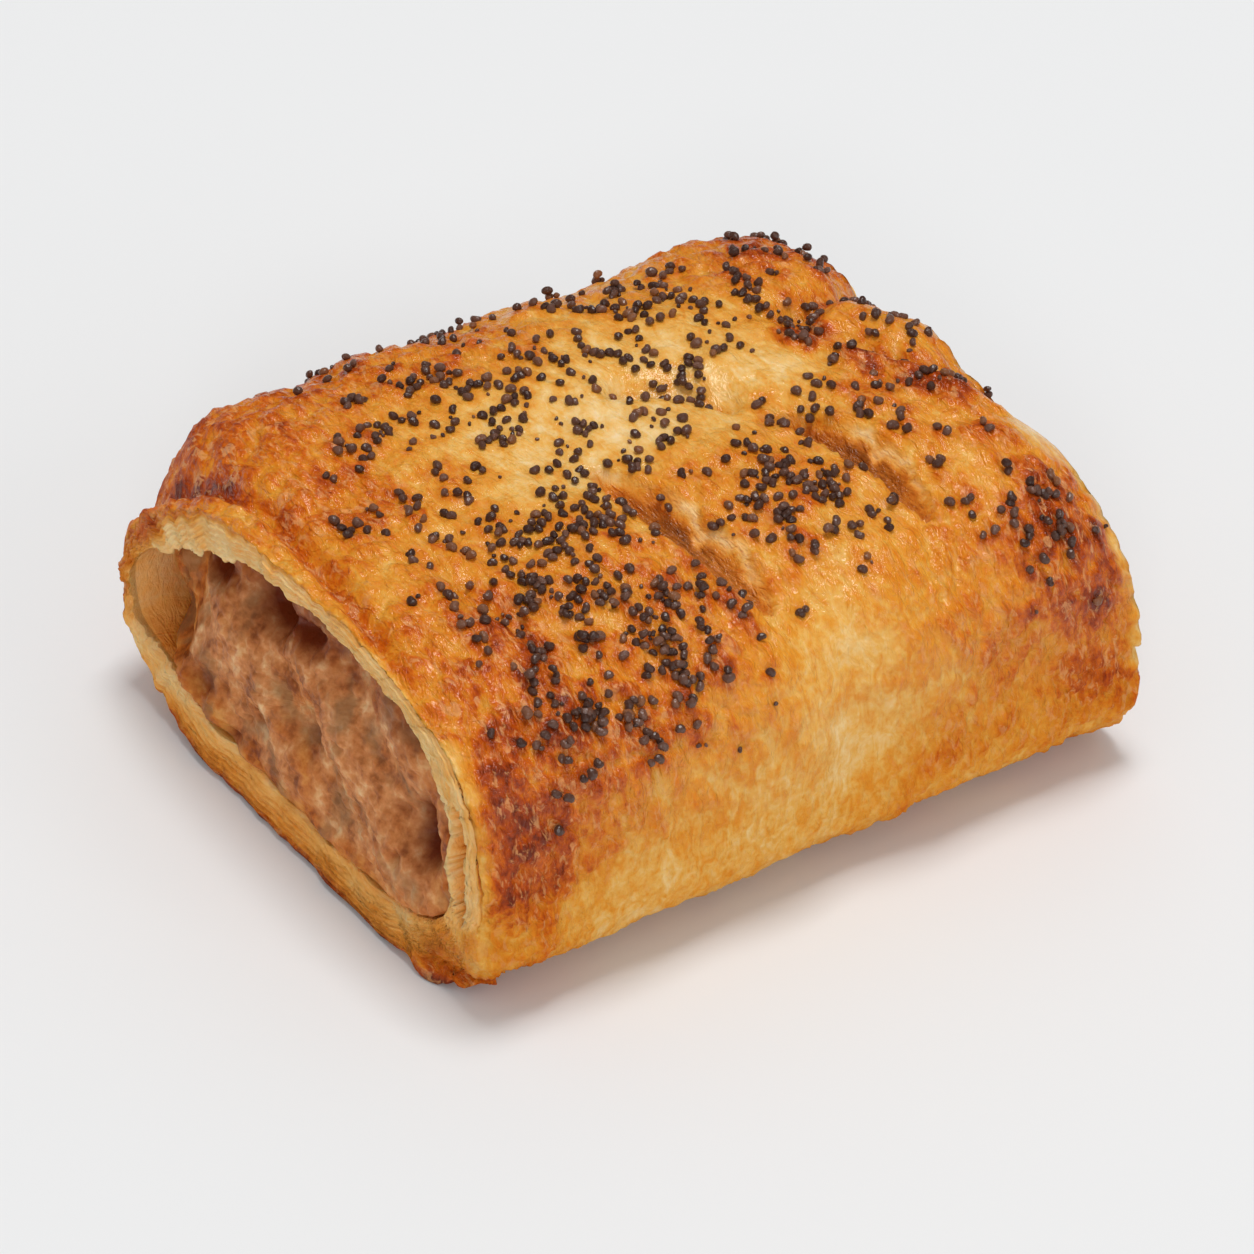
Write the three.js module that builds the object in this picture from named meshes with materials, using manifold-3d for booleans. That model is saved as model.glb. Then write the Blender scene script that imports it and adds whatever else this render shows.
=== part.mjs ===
// A short sausage roll: coarse seasoned sausage meat wrapped in one sheet of puff pastry.
// It is cut square at both ends, slashed across the top, glazed with egg and sown with
// poppy seeds. Millimetres, +Z up, +X along the roll, -Y the side with the slashes.
// It stands on its flat base, and the origin is under the middle of its bounding box.
import * as THREE from 'three';
import { LoftGeometry } from 'three/addons/geometries/LoftGeometry.js';
import { mergeVertices } from 'three/addons/utils/BufferGeometryUtils.js';
import Module from 'manifold-3d';

// The roll
const LENGTH = 81.2;
const HEIGHT = 35.2;
const FRONT_HALF_WIDTH = 37.3;
const BACK_HALF_WIDTH = 36.0;
const WIDEST_HEIGHT = 13.3;
const TOP_SQUARENESS = 3.35;        // 2 would be an ellipse
const BASE_SQUARENESS = 3.8;
const BASE_SINK = 0.6;              // how far the round of the base is pressed flat

// The roll sags and rounds off towards its near end, most at the back, and narrows at the far end
const NEAR_TAPER = 12;
const NEAR_HEIGHT = 34.0;
const NEAR_FRONT_HALF_WIDTH = 36.5;
const NEAR_BACK_HALF_WIDTH = 33.4;
const NEAR_BACK_SQUARENESS = 1.9;
const NEAR_BASE_SQUARENESS = 2.9;
const NEAR_BACK_BASE_SQUARENESS = 2.2;
const FAR_TAPER = 7;
const FAR_HEIGHT = 31.6;

// The pastry
const CROWN_WALL = 3.5;
const FRONT_WALL = 6.8;             // the sheet's edges overlap on this side
const BACK_WALL = 2.4;
const BASE_WALL = 4.2;
const THINNEST_WALL = 0.9;          // left under a slash or a fold
const MOUTH_DEPTH = 6.5;            // over this length the wall changes towards the cuts
const LIP_ROUND = 1.0;              // how far back the crust starts to turn into the cut
const LIP_RAGGEDNESS = 0.35;
const LIP_LEAN = 0.5;               // the base of the lip stands further out than its top
const LIP_GROOVE = 0.8;             // between the two plies of the cut edge
const LIP_GROOVE_AT = 0.55;         // share of the way from the crust to the inside
const LIP_GROOVE_WIDTH = 0.13;
const LIP_CRUST_ROUNDING = 0.4;
const LIP_INSIDE_ROUNDING = 0.6;
const PLY_GAP = { y: -31.6, z: 17.5, width: 2.2, height: 15, depth: 4.2 };  // between two plies
const CREASE_DISTANCE = 1.2;        // from the near cut to the fold behind its lip, and how much
const CREASE_SWING = 3.8;           // further back it lies at the crown
const CREASE_ANGLE = 0.43 * Math.PI;
const CREASE_SPREAD = 0.5;
const CREASE_DEPTH = 1.1;
const CREASE_WIDTH = 1.5;
const COLLAR = 1.4;                 // how far the near lip swells out over its back
const COLLAR_ANGLE = 0.25;
const COLLAR_REACH = 0.35;
const COLLAR_DISTANCE = 1.2;
const COLLAR_WIDTH = 2;
const FOOT_FLARE = 1.8;             // a flake of base pastry squeezed out at the near corner
const FOOT_LENGTH = 12;
const FOOT_ANGLE = 1.13 * Math.PI;
const FOOT_REACH = 0.16;
const DENT_DEPTH = 0.8;             // an upright fold in the front side, below the second slash
const DENT_X = 5;
const DENT_WIDTH = 4;
const UNDULATION = 0.3;

// How thick the wall is at the cuts, as a share of its thickness inside: [angle, share]. It is
// thin down the back and thick above and below that.
const mouthWalls = [
  [0.12, 0.5], [0.38, 1.15], [0.58, 1.65], [0.85, 1.5], [1.2, 1.22], [1.75, 0.85], [2.3, 0.76],
  [2.9, 1], [5.0, 1], [5.45, 1.35], [5.7, 1.1], [5.95, 0.5],
];

// The slashes cross the crown on the front half, and the strips between them puff up
const PUFF_HEIGHT = 1.6;
const PUFF_Y = -16;
const PUFF_REACH = 15;
const FIRST_SLASH_X = -26;
const SLASH_SPACING = 22;
const SLASH_SLANT = 0.18;           // how far the slashes lean along the roll for each mm across
const SLASH_STEEP_SIDE = 0.4;       // shares of a slash's width on its two sides
const SLASH_GENTLE_SIDE = 0.75;
const SLASH_FADE = 0.2;             // share of its length over which each end runs out

// Each slash runs from one point of the plan to another: [x, y]
const slashes = [
  { from: [-27.5, -13], to: [-24.5, -25], width: 3.2, depth: 1.0 },
  { from: [-5.4, -4], to: [-0.8, -30], width: 4.2, depth: 2.4 },
  { from: [16.4, -5.6], to: [21.4, -27], width: 3.4, depth: 2.2 },
  { from: [4.6, 6], to: [15, -5], width: 4.2, depth: 1.2 },
  { from: [25.5, 9], to: [38.5, -17], width: 3.0, depth: 1.8 },
  { from: [28, 8.5], to: [43, 12], width: 4.0, depth: 2.0 },
];

// Between the last slashes the far end has puffed up into lobes
const lobes = [
  { x: 38.3, y: -1, reach: [3.5, 4.6], height: 2.0 },
  { x: 37.5, y: -22.5, reach: [4, 6], height: 1.0 },
];

// The filling
const GAP = 0.3;                    // between the filling and the pastry
const RECESS_AT_BASE = 0.7;         // how far the meat lies behind the cut
const RECESS_AT_CROWN = 4.2;
const SHALLOWEST_RECESS = 0.3;
const MEAT_LUMP = 0.5;
const MEAT_SHRINKAGE = 5.0;         // how far it has drawn back along the back wall
const SHRUNK_FROM_Y = 17;
const SHRUNK_FADE_Y = 12;
const SHRUNK_FROM_Z = 6.5;
const SHRUNK_FADE_Z = 3.5;

// Hollows in the cut meat: the pockets under the crown, the hole beside the front wall, a dent
const pockets = [
  { y: 27.8, z: 20.4, reach: [2.4, 1.8], depth: 2.6 },
  { y: 19.1, z: 21.8, reach: [3.2, 1.8], depth: 3.4 },
  { y: 7.6, z: 22.8, reach: [3.4, 2.2], depth: 4.5 },
  { y: 0.9, z: 23.9, reach: [2.6, 1.4], depth: 2.6 },
  { y: -23.5, z: 15, reach: [2.2, 3.2], depth: 4.5 },
  { y: 18.1, z: 8.5, reach: [2.2, 1.8], depth: 1.5 },
];

// The poppy seeds
const SEED_COUNT = 80;
const SEED_RADIUS = 0.85;
const SEED_WIDTH = 0.85;            // shares of its length
const SEED_THICKNESS = 0.8;
const SEED_STAND = 0.25;            // share of the radius by which its middle clears the crust
const SEED_SPACING = 2.3;
const SEED_FROM_CUTS = 6;
const SEED_DRAWS = 6000;
const SEED_SIDES = 6;
const SEED_RINGS = 3;
const BARE_SHARE = 0.25;            // where the sowing is thinner than this, no seed lies

// Where the seeds fell, each patch fading out from its middle over its reach along and across
const sprinkles = [
  { x: 5, y: 8, reach: [40, 22], share: 0.8 },
  { x: -17, y: -20, reach: [16, 18], share: 1.0 },
  { x: 10, y: -18, reach: [8, 9], share: 0.9 },
  { x: 30, y: -8, reach: [10, 16], share: 0.5 },
  { x: 32, y: -30, reach: [6, 6], share: 0.8 },
];

// How finely the surfaces are divided
const CROWN_COLUMNS = 50;
const BASE_COLUMNS = 18;
const ROW_STEP = 2.8;               // between the rows along the roll, where they are widest
const ROW_CLOSENESS = 1.6;          // how much closer they lie along a slash
const WALL_ROWS = 5;
const MEAT_SKIP = 2;                // the filling has one column for this many of the pastry
const MEAT_RINGS = 12;

const HALF_LENGTH = LENGTH / 2;
const smooth = (value) => THREE.MathUtils.smoothstep(value, 0, 1);
const blend = THREE.MathUtils.lerp;
const hump = (distance, width) => Math.exp(-((distance / width) ** 2));

// Angles go round the roll from the back (0) over the crown to the front (PI) and under it.
const columns = [];
for (let i = 0; i < CROWN_COLUMNS; i++) {
  columns.push(Math.PI * i / CROWN_COLUMNS);
}
for (let i = 0; i < BASE_COLUMNS; i++) {
  columns.push(Math.PI * (1 + i / BASE_COLUMNS));
}

// A point of the smooth roll, taken in from its surface by the walls' thickness times `inset`
function smoothPoint(x, angle, inset = 0, gap = 0) {
  const nearEnd = 1 - smooth((x + HALF_LENGTH) / NEAR_TAPER);
  const farEnd = 1 - smooth((HALF_LENGTH - x) / FAR_TAPER);
  const crown = blend(blend(HEIGHT, NEAR_HEIGHT, nearEnd), FAR_HEIGHT, farEnd);
  const middle = WIDEST_HEIGHT * crown / HEIGHT;
  const front = blend(FRONT_HALF_WIDTH, NEAR_FRONT_HALF_WIDTH, nearEnd);
  const back = blend(BACK_HALF_WIDTH, NEAR_BACK_HALF_WIDTH, nearEnd);
  const top = CROWN_WALL * inset + gap;
  const base = BASE_WALL * inset + gap;

  const across = Math.cos(angle);
  const up = Math.sin(angle);
  const nearBaseSquareness = across > 0 ? NEAR_BACK_BASE_SQUARENESS : NEAR_BASE_SQUARENESS;
  let squareness = blend(BASE_SQUARENESS, nearBaseSquareness, nearEnd);
  if (up >= 0) {
    squareness = blend(TOP_SQUARENESS, NEAR_BACK_SQUARENESS, across > 0 ? nearEnd : 0);
  }
  const reach = (Math.abs(across) ** squareness + Math.abs(up) ** squareness) ** (-1 / squareness);
  const halfWidth = across > 0 ? back - BACK_WALL * inset - gap : front - FRONT_WALL * inset - gap;
  const rise = up >= 0 ? crown - middle - top : middle + BASE_SINK - base;
  const z = Math.max(middle + rise * up * reach, base);
  return new THREE.Vector3(x, halfWidth * across * reach, z);
}

function mouthWall(angle) {
  const next = mouthWalls.findIndex(([place]) => place > angle);
  if (next < 1) {
    return mouthWalls[0][1];
  }
  const [from, share] = mouthWalls[next - 1];
  const [to, nextShare] = mouthWalls[next];
  return blend(share, nextShare, (angle - from) / (to - from));
}

// A point of the inside of the pastry, whose wall changes towards the cuts
function insidePoint(x, angle) {
  const towardsCut = 1 - smooth((HALF_LENGTH - Math.abs(x)) / MOUTH_DEPTH);
  return smoothPoint(x, angle, blend(1, mouthWall(angle), towardsCut));
}

// The outward direction of the smooth roll within its cross-section
function outward(x, angle) {
  const step = 0.01;
  const tangent = smoothPoint(x, angle + step).sub(smoothPoint(x, angle - step));
  return new THREE.Vector3(0, tangent.z, -tangent.y).normalize();
}

// How deep a slash is below the crust: steep on its near side, gentle on its far side
function slashDepth(slash, x, y) {
  const [startX, startY] = slash.from;
  const runX = slash.to[0] - startX;
  const runY = slash.to[1] - startY;
  const length = Math.hypot(runX, runY);
  const along = ((x - startX) * runX + (y - startY) * runY) / (length * length);
  const beside = ((x - startX) * -runY + (y - startY) * runX) / length;
  const ends = smooth(along / SLASH_FADE + 0.5) * smooth((1 - along) / SLASH_FADE + 0.5);
  const side = beside > 0 ? SLASH_GENTLE_SIDE : SLASH_STEEP_SIDE;
  return slash.depth * ends * hump(beside, slash.width * side);
}

// How far the strips between the slashes are puffed up above or drawn down below the crown
function puffHeight(x, y) {
  const strips = (x - FIRST_SLASH_X + SLASH_SLANT * (y - PUFF_Y)) / SLASH_SPACING;
  const pillow = Math.sqrt(Math.abs(Math.sin(Math.PI * strips))) - 0.6;
  return PUFF_HEIGHT * pillow * hump(y - PUFF_Y, PUFF_REACH);
}

function lobeHeight(lobe, x, y) {
  const away = Math.hypot((x - lobe.x) / lobe.reach[0], (y - lobe.y) / lobe.reach[1]);
  return lobe.height * hump(away, 1);
}

// How far behind the near cut the fold lies
function creaseDistance(angle) {
  return CREASE_DISTANCE + CREASE_SWING * hump(angle - CREASE_ANGLE, CREASE_SPREAD);
}

// How far the crust stands out from the smooth roll
function relief(x, angle) {
  const outside = smoothPoint(x, angle);
  const { y, z } = outside;
  const fromNear = x + HALF_LENGTH;
  const onTop = smooth((z - 0.6 * HEIGHT) / (0.23 * HEIGHT));
  const aboveBase = smooth(z / (0.25 * HEIGHT));

  const cuts = slashes.reduce((sum, slash) => sum + slashDepth(slash, x, y), 0);
  const pastCrease = fromNear - creaseDistance(angle);
  const crease = CREASE_DEPTH * smooth(3 * z / HEIGHT - 1) * hump(pastCrease, CREASE_WIDTH);
  const collar = COLLAR * hump(fromNear - COLLAR_DISTANCE, COLLAR_WIDTH)
    * hump(angle - COLLAR_ANGLE, COLLAR_REACH);
  const swelling = lobes.reduce((sum, lobe) => sum + lobeHeight(lobe, x, y), 0);
  const foot = FOOT_FLARE * hump(angle - FOOT_ANGLE, FOOT_REACH) * (1 - smooth(fromNear / FOOT_LENGTH));
  const dent = DENT_DEPTH * hump(x - DENT_X, DENT_WIDTH) * hump(y + FRONT_HALF_WIDTH, 6);
  const waves = Math.sin(0.21 * x + 2 * angle) * Math.cos(0.13 * x - 3 * angle)
    + 0.7 * Math.sin(0.35 * x - 4 * angle + 1.3);

  const top = (puffHeight(x, y) + swelling - cuts) * onTop;
  const sides = (UNDULATION * waves - dent) * aboveBase;
  const wall = outside.distanceTo(insidePoint(x, angle));
  return Math.max(top + sides + collar - crease + foot, THINNEST_WALL - wall);
}

function crustPoint(x, angle) {
  const point = smoothPoint(x, angle);
  point.addScaledVector(outward(x, angle), relief(x, angle));
  point.z = Math.max(point.z, 0);
  return point;
}

// The cut edge runs from the crust (0) to the inside (1): two plies with a groove between, which
// have parted at the near front
function lipPoint(end, across, angle) {
  const crust = crustPoint(end * (HALF_LENGTH - LIP_ROUND), angle);
  const inside = insidePoint(end * (HALF_LENGTH - LIP_ROUND), angle);
  const point = crust.lerp(inside, across);
  const rag = LIP_RAGGEDNESS * Math.sin(5 * angle + end) * Math.sin(8 * angle + 4 * across);
  const groove = LIP_GROOVE * hump(across - LIP_GROOVE_AT, LIP_GROOVE_WIDTH);
  const rounding = LIP_CRUST_ROUNDING * hump(across, 0.15) + LIP_INSIDE_ROUNDING * hump(across - 1, 0.2);
  const lean = LIP_LEAN * smooth(point.z / HEIGHT);
  const upGap = smooth(2 - 4 * Math.abs(point.z - PLY_GAP.z) / PLY_GAP.height);
  const inGap = smooth(2 - 2 * Math.abs(point.y - PLY_GAP.y) / PLY_GAP.width);
  const gap = end < 0 ? PLY_GAP.depth * upGap * inGap : 0;
  point.x = end * (HALF_LENGTH - LIP_RAGGEDNESS + rag - lean - groove - rounding - gap);
  return point;
}

const ring = (pointAt) => columns.map(pointAt);
const spread = (count, from, to) => Array.from({ length: count }, (_, i) =>
  blend(from, to, i / (count - 1)));

// Stations along the inside of the pastry, shared with the filling's side
const wallRows = spread(WALL_ROWS, -HALF_LENGTH + 9.2, HALF_LENGTH - 9.2);
const mouthRows = [HALF_LENGTH - MOUTH_DEPTH, HALF_LENGTH - 3];

// Rows across the roll: closer along the slashes and towards the cut ends
function crustRows() {
  const crustEnd = HALF_LENGTH - LIP_ROUND;
  const rows = [];
  let x = -crustEnd;
  while (x < crustEnd - 0.3 * ROW_STEP) {
    rows.push(x);
    const pastSlash = Math.abs(x - FIRST_SLASH_X) % SLASH_SPACING;
    const toSlash = Math.min(pastSlash, SLASH_SPACING - pastSlash);
    const closeness = Math.max(hump(toSlash, 3.2), hump(x + crustEnd, 7), hump(x - crustEnd, 4));
    x += ROW_STEP / (1 + ROW_CLOSENESS * closeness);
  }
  return [...rows, crustEnd];
}

// The rows lean with the slashes, over the top only and not at the cut ends
function leaningPoint(row, angle) {
  const { y, z } = smoothPoint(row, angle);
  const share = smooth(z / HEIGHT) * smooth((HALF_LENGTH - Math.abs(row)) / NEAR_TAPER);
  return crustPoint(row - SLASH_SLANT * (y - PUFF_Y) * share, angle);
}

function pastryShell() {
  const lipSteps = [0.12, 0.36, 0.55, 0.76, 0.96];
  const sections = crustRows().map((row) => ring((angle) => leaningPoint(row, angle)));
  for (const step of lipSteps) {
    sections.push(ring((angle) => lipPoint(1, step, angle)));
  }
  const insideRows = [...mouthRows.map((x) => -x), ...wallRows, ...mouthRows].sort((a, b) => b - a);
  for (const x of insideRows) {
    sections.push(ring((angle) => insidePoint(x, angle)));
  }
  for (const step of lipSteps.toReversed()) {
    sections.push(ring((angle) => lipPoint(-1, step, angle)));
  }
  sections.push(sections[0]);
  return new LoftGeometry(sections);
}

// How far the meat lies behind the cut at a point of the end
function recess(y, z) {
  const height = smooth(z / HEIGHT);
  const lumps = Math.sin(0.33 * y + 1.1) * Math.cos(0.41 * z) + Math.sin(0.5 * z - 0.3 * y);
  const dents = pockets.reduce((sum, pocket) =>
    sum + pocket.depth * hump(y - pocket.y, pocket.reach[0]) * hump(z - pocket.z, pocket.reach[1]), 0);
  const shrunk = MEAT_SHRINKAGE * smooth((y - SHRUNK_FROM_Y) / SHRUNK_FADE_Y)
    * smooth((z - SHRUNK_FROM_Z) / SHRUNK_FADE_Z);
  const recessHere = blend(RECESS_AT_BASE, RECESS_AT_CROWN, height) + MEAT_LUMP * lumps * smooth(z / 8);
  return Math.max(recessHere + dents + shrunk, SHALLOWEST_RECESS);
}

function meatGeometry() {
  const heart = new THREE.Vector3(0, 0, 0.45 * HEIGHT);
  const meatColumns = columns.filter((_, i) => i % MEAT_SKIP === 0);
  const endX = HALF_LENGTH - RECESS_AT_BASE;
  const endRing = (end, size) => meatColumns.map((angle) => {
    const point = smoothPoint(end * endX, angle, Math.max(1, mouthWall(angle)), GAP);
    point.lerp(heart, 1 - size);
    point.x = end * (HALF_LENGTH - recess(point.y, point.z));
    return point;
  });
  const sizes = spread(MEAT_RINGS, 0, 1);
  const sections = [];
  for (const size of sizes) {
    sections.push(endRing(-1, size));
  }
  for (const x of wallRows) {
    sections.push(meatColumns.map((angle) => smoothPoint(x, angle, 1, GAP)));
  }
  for (const size of sizes.toReversed()) {
    sections.push(endRing(1, size));
  }
  return new LoftGeometry(sections);
}

// How thickly the seeds were sown at a point of the plan, from 0 to 1
function sownAt(x, y) {
  const shares = sprinkles.map((patch) =>
    patch.share * hump(Math.hypot((x - patch.x) / patch.reach[0], (y - patch.y) / patch.reach[1]), 1));
  return Math.max(...shares);
}

// The number's digits in the given base, mirrored behind the point: an even spread over 0 to 1
function evenSpread(number, base) {
  let share = 1;
  let sum = 0;
  for (let rest = number; rest > 0; rest = Math.floor(rest / base)) {
    share /= base;
    sum += share * (rest % base);
  }
  return sum;
}

// Where the seeds lie: largest first, none closer than their spacing, none near the cuts
function seedPlaces() {
  const places = [];
  for (let draw = 1; places.length < SEED_COUNT && draw < SEED_DRAWS; draw++) {
    const x = 2 * (evenSpread(draw, 2) - 0.5) * (HALF_LENGTH - SEED_FROM_CUTS);
    const angle = Math.PI * blend(0.12, 0.88, evenSpread(draw, 3));
    const centre = crustPoint(x, angle);
    const sown = sownAt(x, centre.y) > blend(BARE_SHARE, 1, evenSpread(draw, 5));
    if (sown && places.every((place) => place.centre.distanceTo(centre) > SEED_SPACING)) {
      places.push({ centre, normal: outward(x, angle), turn: 7 * draw });
    }
  }
  return places;
}

function seedGeometry({ centre, normal, turn }) {
  const geometry = new THREE.SphereGeometry(SEED_RADIUS, SEED_SIDES, SEED_RINGS);
  geometry.scale(1, SEED_THICKNESS, SEED_WIDTH);
  geometry.rotateY(turn);
  const upright = new THREE.Vector3(0, 1, 0);
  const tilt = new THREE.Quaternion().setFromUnitVectors(upright, normal);
  geometry.applyQuaternion(tilt);
  const lift = centre.clone().addScaledVector(normal, SEED_RADIUS * SEED_STAND);
  geometry.translate(lift.x, lift.y, lift.z);
  return geometry;
}

const wasm = await Module();
wasm.setup();

// The surface with its shared vertices merged, and without the triangles that this flattens
function closed(surface) {
  const geometry = new THREE.BufferGeometry();
  geometry.setAttribute('position', surface.getAttribute('position'));
  geometry.setIndex(surface.getIndex());
  const merged = mergeVertices(geometry);
  const corners = merged.getIndex().array;
  const kept = [];
  for (let i = 0; i < corners.length; i += 3) {
    const [a, b, c] = corners.slice(i, i + 3);
    if (a !== b && b !== c && c !== a) {
      kept.push(a, b, c);
    }
  }
  merged.setIndex(kept);
  return merged;
}

function toSolid(geometry) {
  const merged = closed(geometry);
  return new wasm.Manifold(new wasm.Mesh({
    numProp: 3,
    vertProperties: merged.attributes.position.array,
    triVerts: new Uint32Array(merged.index.array),
  }));
}

function toGeometry(solid) {
  const mesh = solid.getMesh();
  const geometry = new THREE.BufferGeometry();
  geometry.setAttribute('position', new THREE.BufferAttribute(mesh.vertProperties, 3));
  geometry.setIndex(new THREE.BufferAttribute(mesh.triVerts, 1));
  geometry.computeVertexNormals();
  return geometry;
}

function pastryGeometry() {
  const seeds = seedPlaces().map((place) => toSolid(seedGeometry(place)));
  return toGeometry(wasm.Manifold.union([toSolid(pastryShell()), ...seeds]));
}

const pastryMaterial = new THREE.MeshStandardMaterial({ color: 0xc98232, roughness: 0.45, metalness: 0 });
const meatMaterial = new THREE.MeshStandardMaterial({ color: 0xaf7549, roughness: 0.6, metalness: 0 });

const pastry = new THREE.Mesh(pastryGeometry(), pastryMaterial);
pastry.name = 'pastry';
const filling = new THREE.Mesh(closed(meatGeometry()), meatMaterial);
filling.name = 'filling';

const sausageRoll = new THREE.Group();
sausageRoll.add(pastry, filling);

// The origin goes under the middle of the bounding box
pastry.geometry.computeBoundingBox();
const middle = pastry.geometry.boundingBox.getCenter(new THREE.Vector3());
sausageRoll.position.set(-middle.x, -middle.y, 0);

export default sausageRoll;
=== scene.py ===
import math

import bmesh
import bpy
import numpy as np
from mathutils import Matrix, Vector, kdtree, noise


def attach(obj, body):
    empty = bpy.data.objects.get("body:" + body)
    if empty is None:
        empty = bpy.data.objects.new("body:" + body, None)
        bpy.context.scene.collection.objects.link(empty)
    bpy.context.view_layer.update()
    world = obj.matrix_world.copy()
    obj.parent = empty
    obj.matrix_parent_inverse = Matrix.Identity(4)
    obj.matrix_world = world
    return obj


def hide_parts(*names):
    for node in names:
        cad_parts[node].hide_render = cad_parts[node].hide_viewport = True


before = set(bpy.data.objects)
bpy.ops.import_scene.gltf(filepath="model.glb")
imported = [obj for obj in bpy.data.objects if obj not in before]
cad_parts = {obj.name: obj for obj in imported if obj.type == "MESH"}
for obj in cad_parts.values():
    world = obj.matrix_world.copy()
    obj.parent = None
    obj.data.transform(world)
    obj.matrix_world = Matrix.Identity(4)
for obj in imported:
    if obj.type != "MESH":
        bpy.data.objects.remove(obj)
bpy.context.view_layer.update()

# ---------------------------------------------------------------------------------------------
# The camera. It looks down on the roll from beyond its near left corner, through a long lens,
# and is aimed a little right of the middle and below it.
# ---------------------------------------------------------------------------------------------
MM = 0.001
VIEW_AZIMUTH = math.radians(-33.77)
VIEW_ELEVATION = math.radians(36.5)
VIEW_DISTANCE = 728.8
LENS = 200.96
SENSOR_WIDTH = 36
NEAREST_SEEN = 0.05             # metres
AIM_HEIGHT = 12.44
AIM_RIGHT = 1.34
AIM_DOWN = 1.55
ROLL_MIDDLE = (0.0055, 0.62, 0)     # the roll's own middle line within its box

to_camera = Vector((
    math.sin(VIEW_AZIMUTH) * math.cos(VIEW_ELEVATION),
    -math.cos(VIEW_AZIMUTH) * math.cos(VIEW_ELEVATION),
    math.sin(VIEW_ELEVATION),
))
camera_right = Vector((math.cos(VIEW_AZIMUTH), math.sin(VIEW_AZIMUTH), 0))
camera_up = to_camera.cross(camera_right)
aim = Vector(ROLL_MIDDLE) + Vector((0, 0, AIM_HEIGHT)) + camera_right * AIM_RIGHT - camera_up * AIM_DOWN

camera_data = bpy.data.cameras.new("camera")
camera_data.lens = LENS
camera_data.sensor_width = SENSOR_WIDTH
camera_data.clip_start = NEAREST_SEEN
camera = bpy.data.objects.new("camera", camera_data)
camera.location = (aim + to_camera * VIEW_DISTANCE) * MM
camera.rotation_euler = to_camera.to_track_quat("Z", "Y").to_euler()
bpy.context.collection.objects.link(camera)
bpy.context.scene.camera = camera
bpy.context.scene.view_settings.view_transform = "Standard"

# ---------------------------------------------------------------------------------------------
# The pastry: one sheet of puff pastry wrapped round the meat with its seam underneath. It is cut
# square at both ends, slashed across the crown, glazed with egg and baked until it has puffed up
# and browned, most at the ends and along the shoulders. Sizes are in millimetres.
# ---------------------------------------------------------------------------------------------
LENGTH = 81.2
HALF_LENGTH = LENGTH / 2
HEIGHT = 35.2
FRONT_HALF_WIDTH = 37.3
BACK_HALF_WIDTH = 36.0
WIDEST_HEIGHT = 13.3
TOP_SQUARENESS = 3.35           # 2 would be an ellipse
BASE_SQUARENESS = 3.8
BASE_SINK = 0.6                 # how far the round of the base is pressed flat

# The roll sags and rounds off towards its near end and narrows at the far end
NEAR_TAPER = 12
NEAR_HEIGHT = 34.0
NEAR_FRONT_HALF_WIDTH = 36.5
NEAR_BACK_HALF_WIDTH = 33.4
NEAR_BACK_SQUARENESS = 1.9
NEAR_BASE_SQUARENESS = 2.9
NEAR_BACK_BASE_SQUARENESS = 2.5
FAR_TAPER = 7
FAR_HEIGHT = 31.6

CROWN_WALL = 3.5
FRONT_WALL = 6.8
BACK_WALL = 2.4
BASE_WALL = 4.2


def smooth(value):
    value = np.clip(value, 0, 1)
    return value * value * (3 - 2 * value)


def blend(start, end, share):
    return start + (end - start) * share


def past(value, start, run):
    """0 up to a start and 1 once the run after it is over; the named pairs it is given are both"""
    return smooth((value - start) / run)


def hump(distance, width):
    return np.exp(-(distance / width) ** 2)


def patch(x, y, middle, reach):
    """How near each point of a plane is to the middle of an oval patch, from 0 to 1"""
    return hump(np.hypot((x - middle[0]) / reach[0], (y - middle[1]) / reach[1]), 1)


def fractal(points, size, octaves=3, seed=0.0):
    """Noise of about -1 to 1 at each point. The triples named NOISE hold the size of its lumps,
    how many finer layers it has, and the seed that makes its pattern."""
    places = (points.reshape(-1, 3) / size + seed).tolist()
    values = [noise.fractal(place, 1.0, 2.0, octaves) for place in places]
    return np.array(values).reshape(points.shape[:-1])


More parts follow.
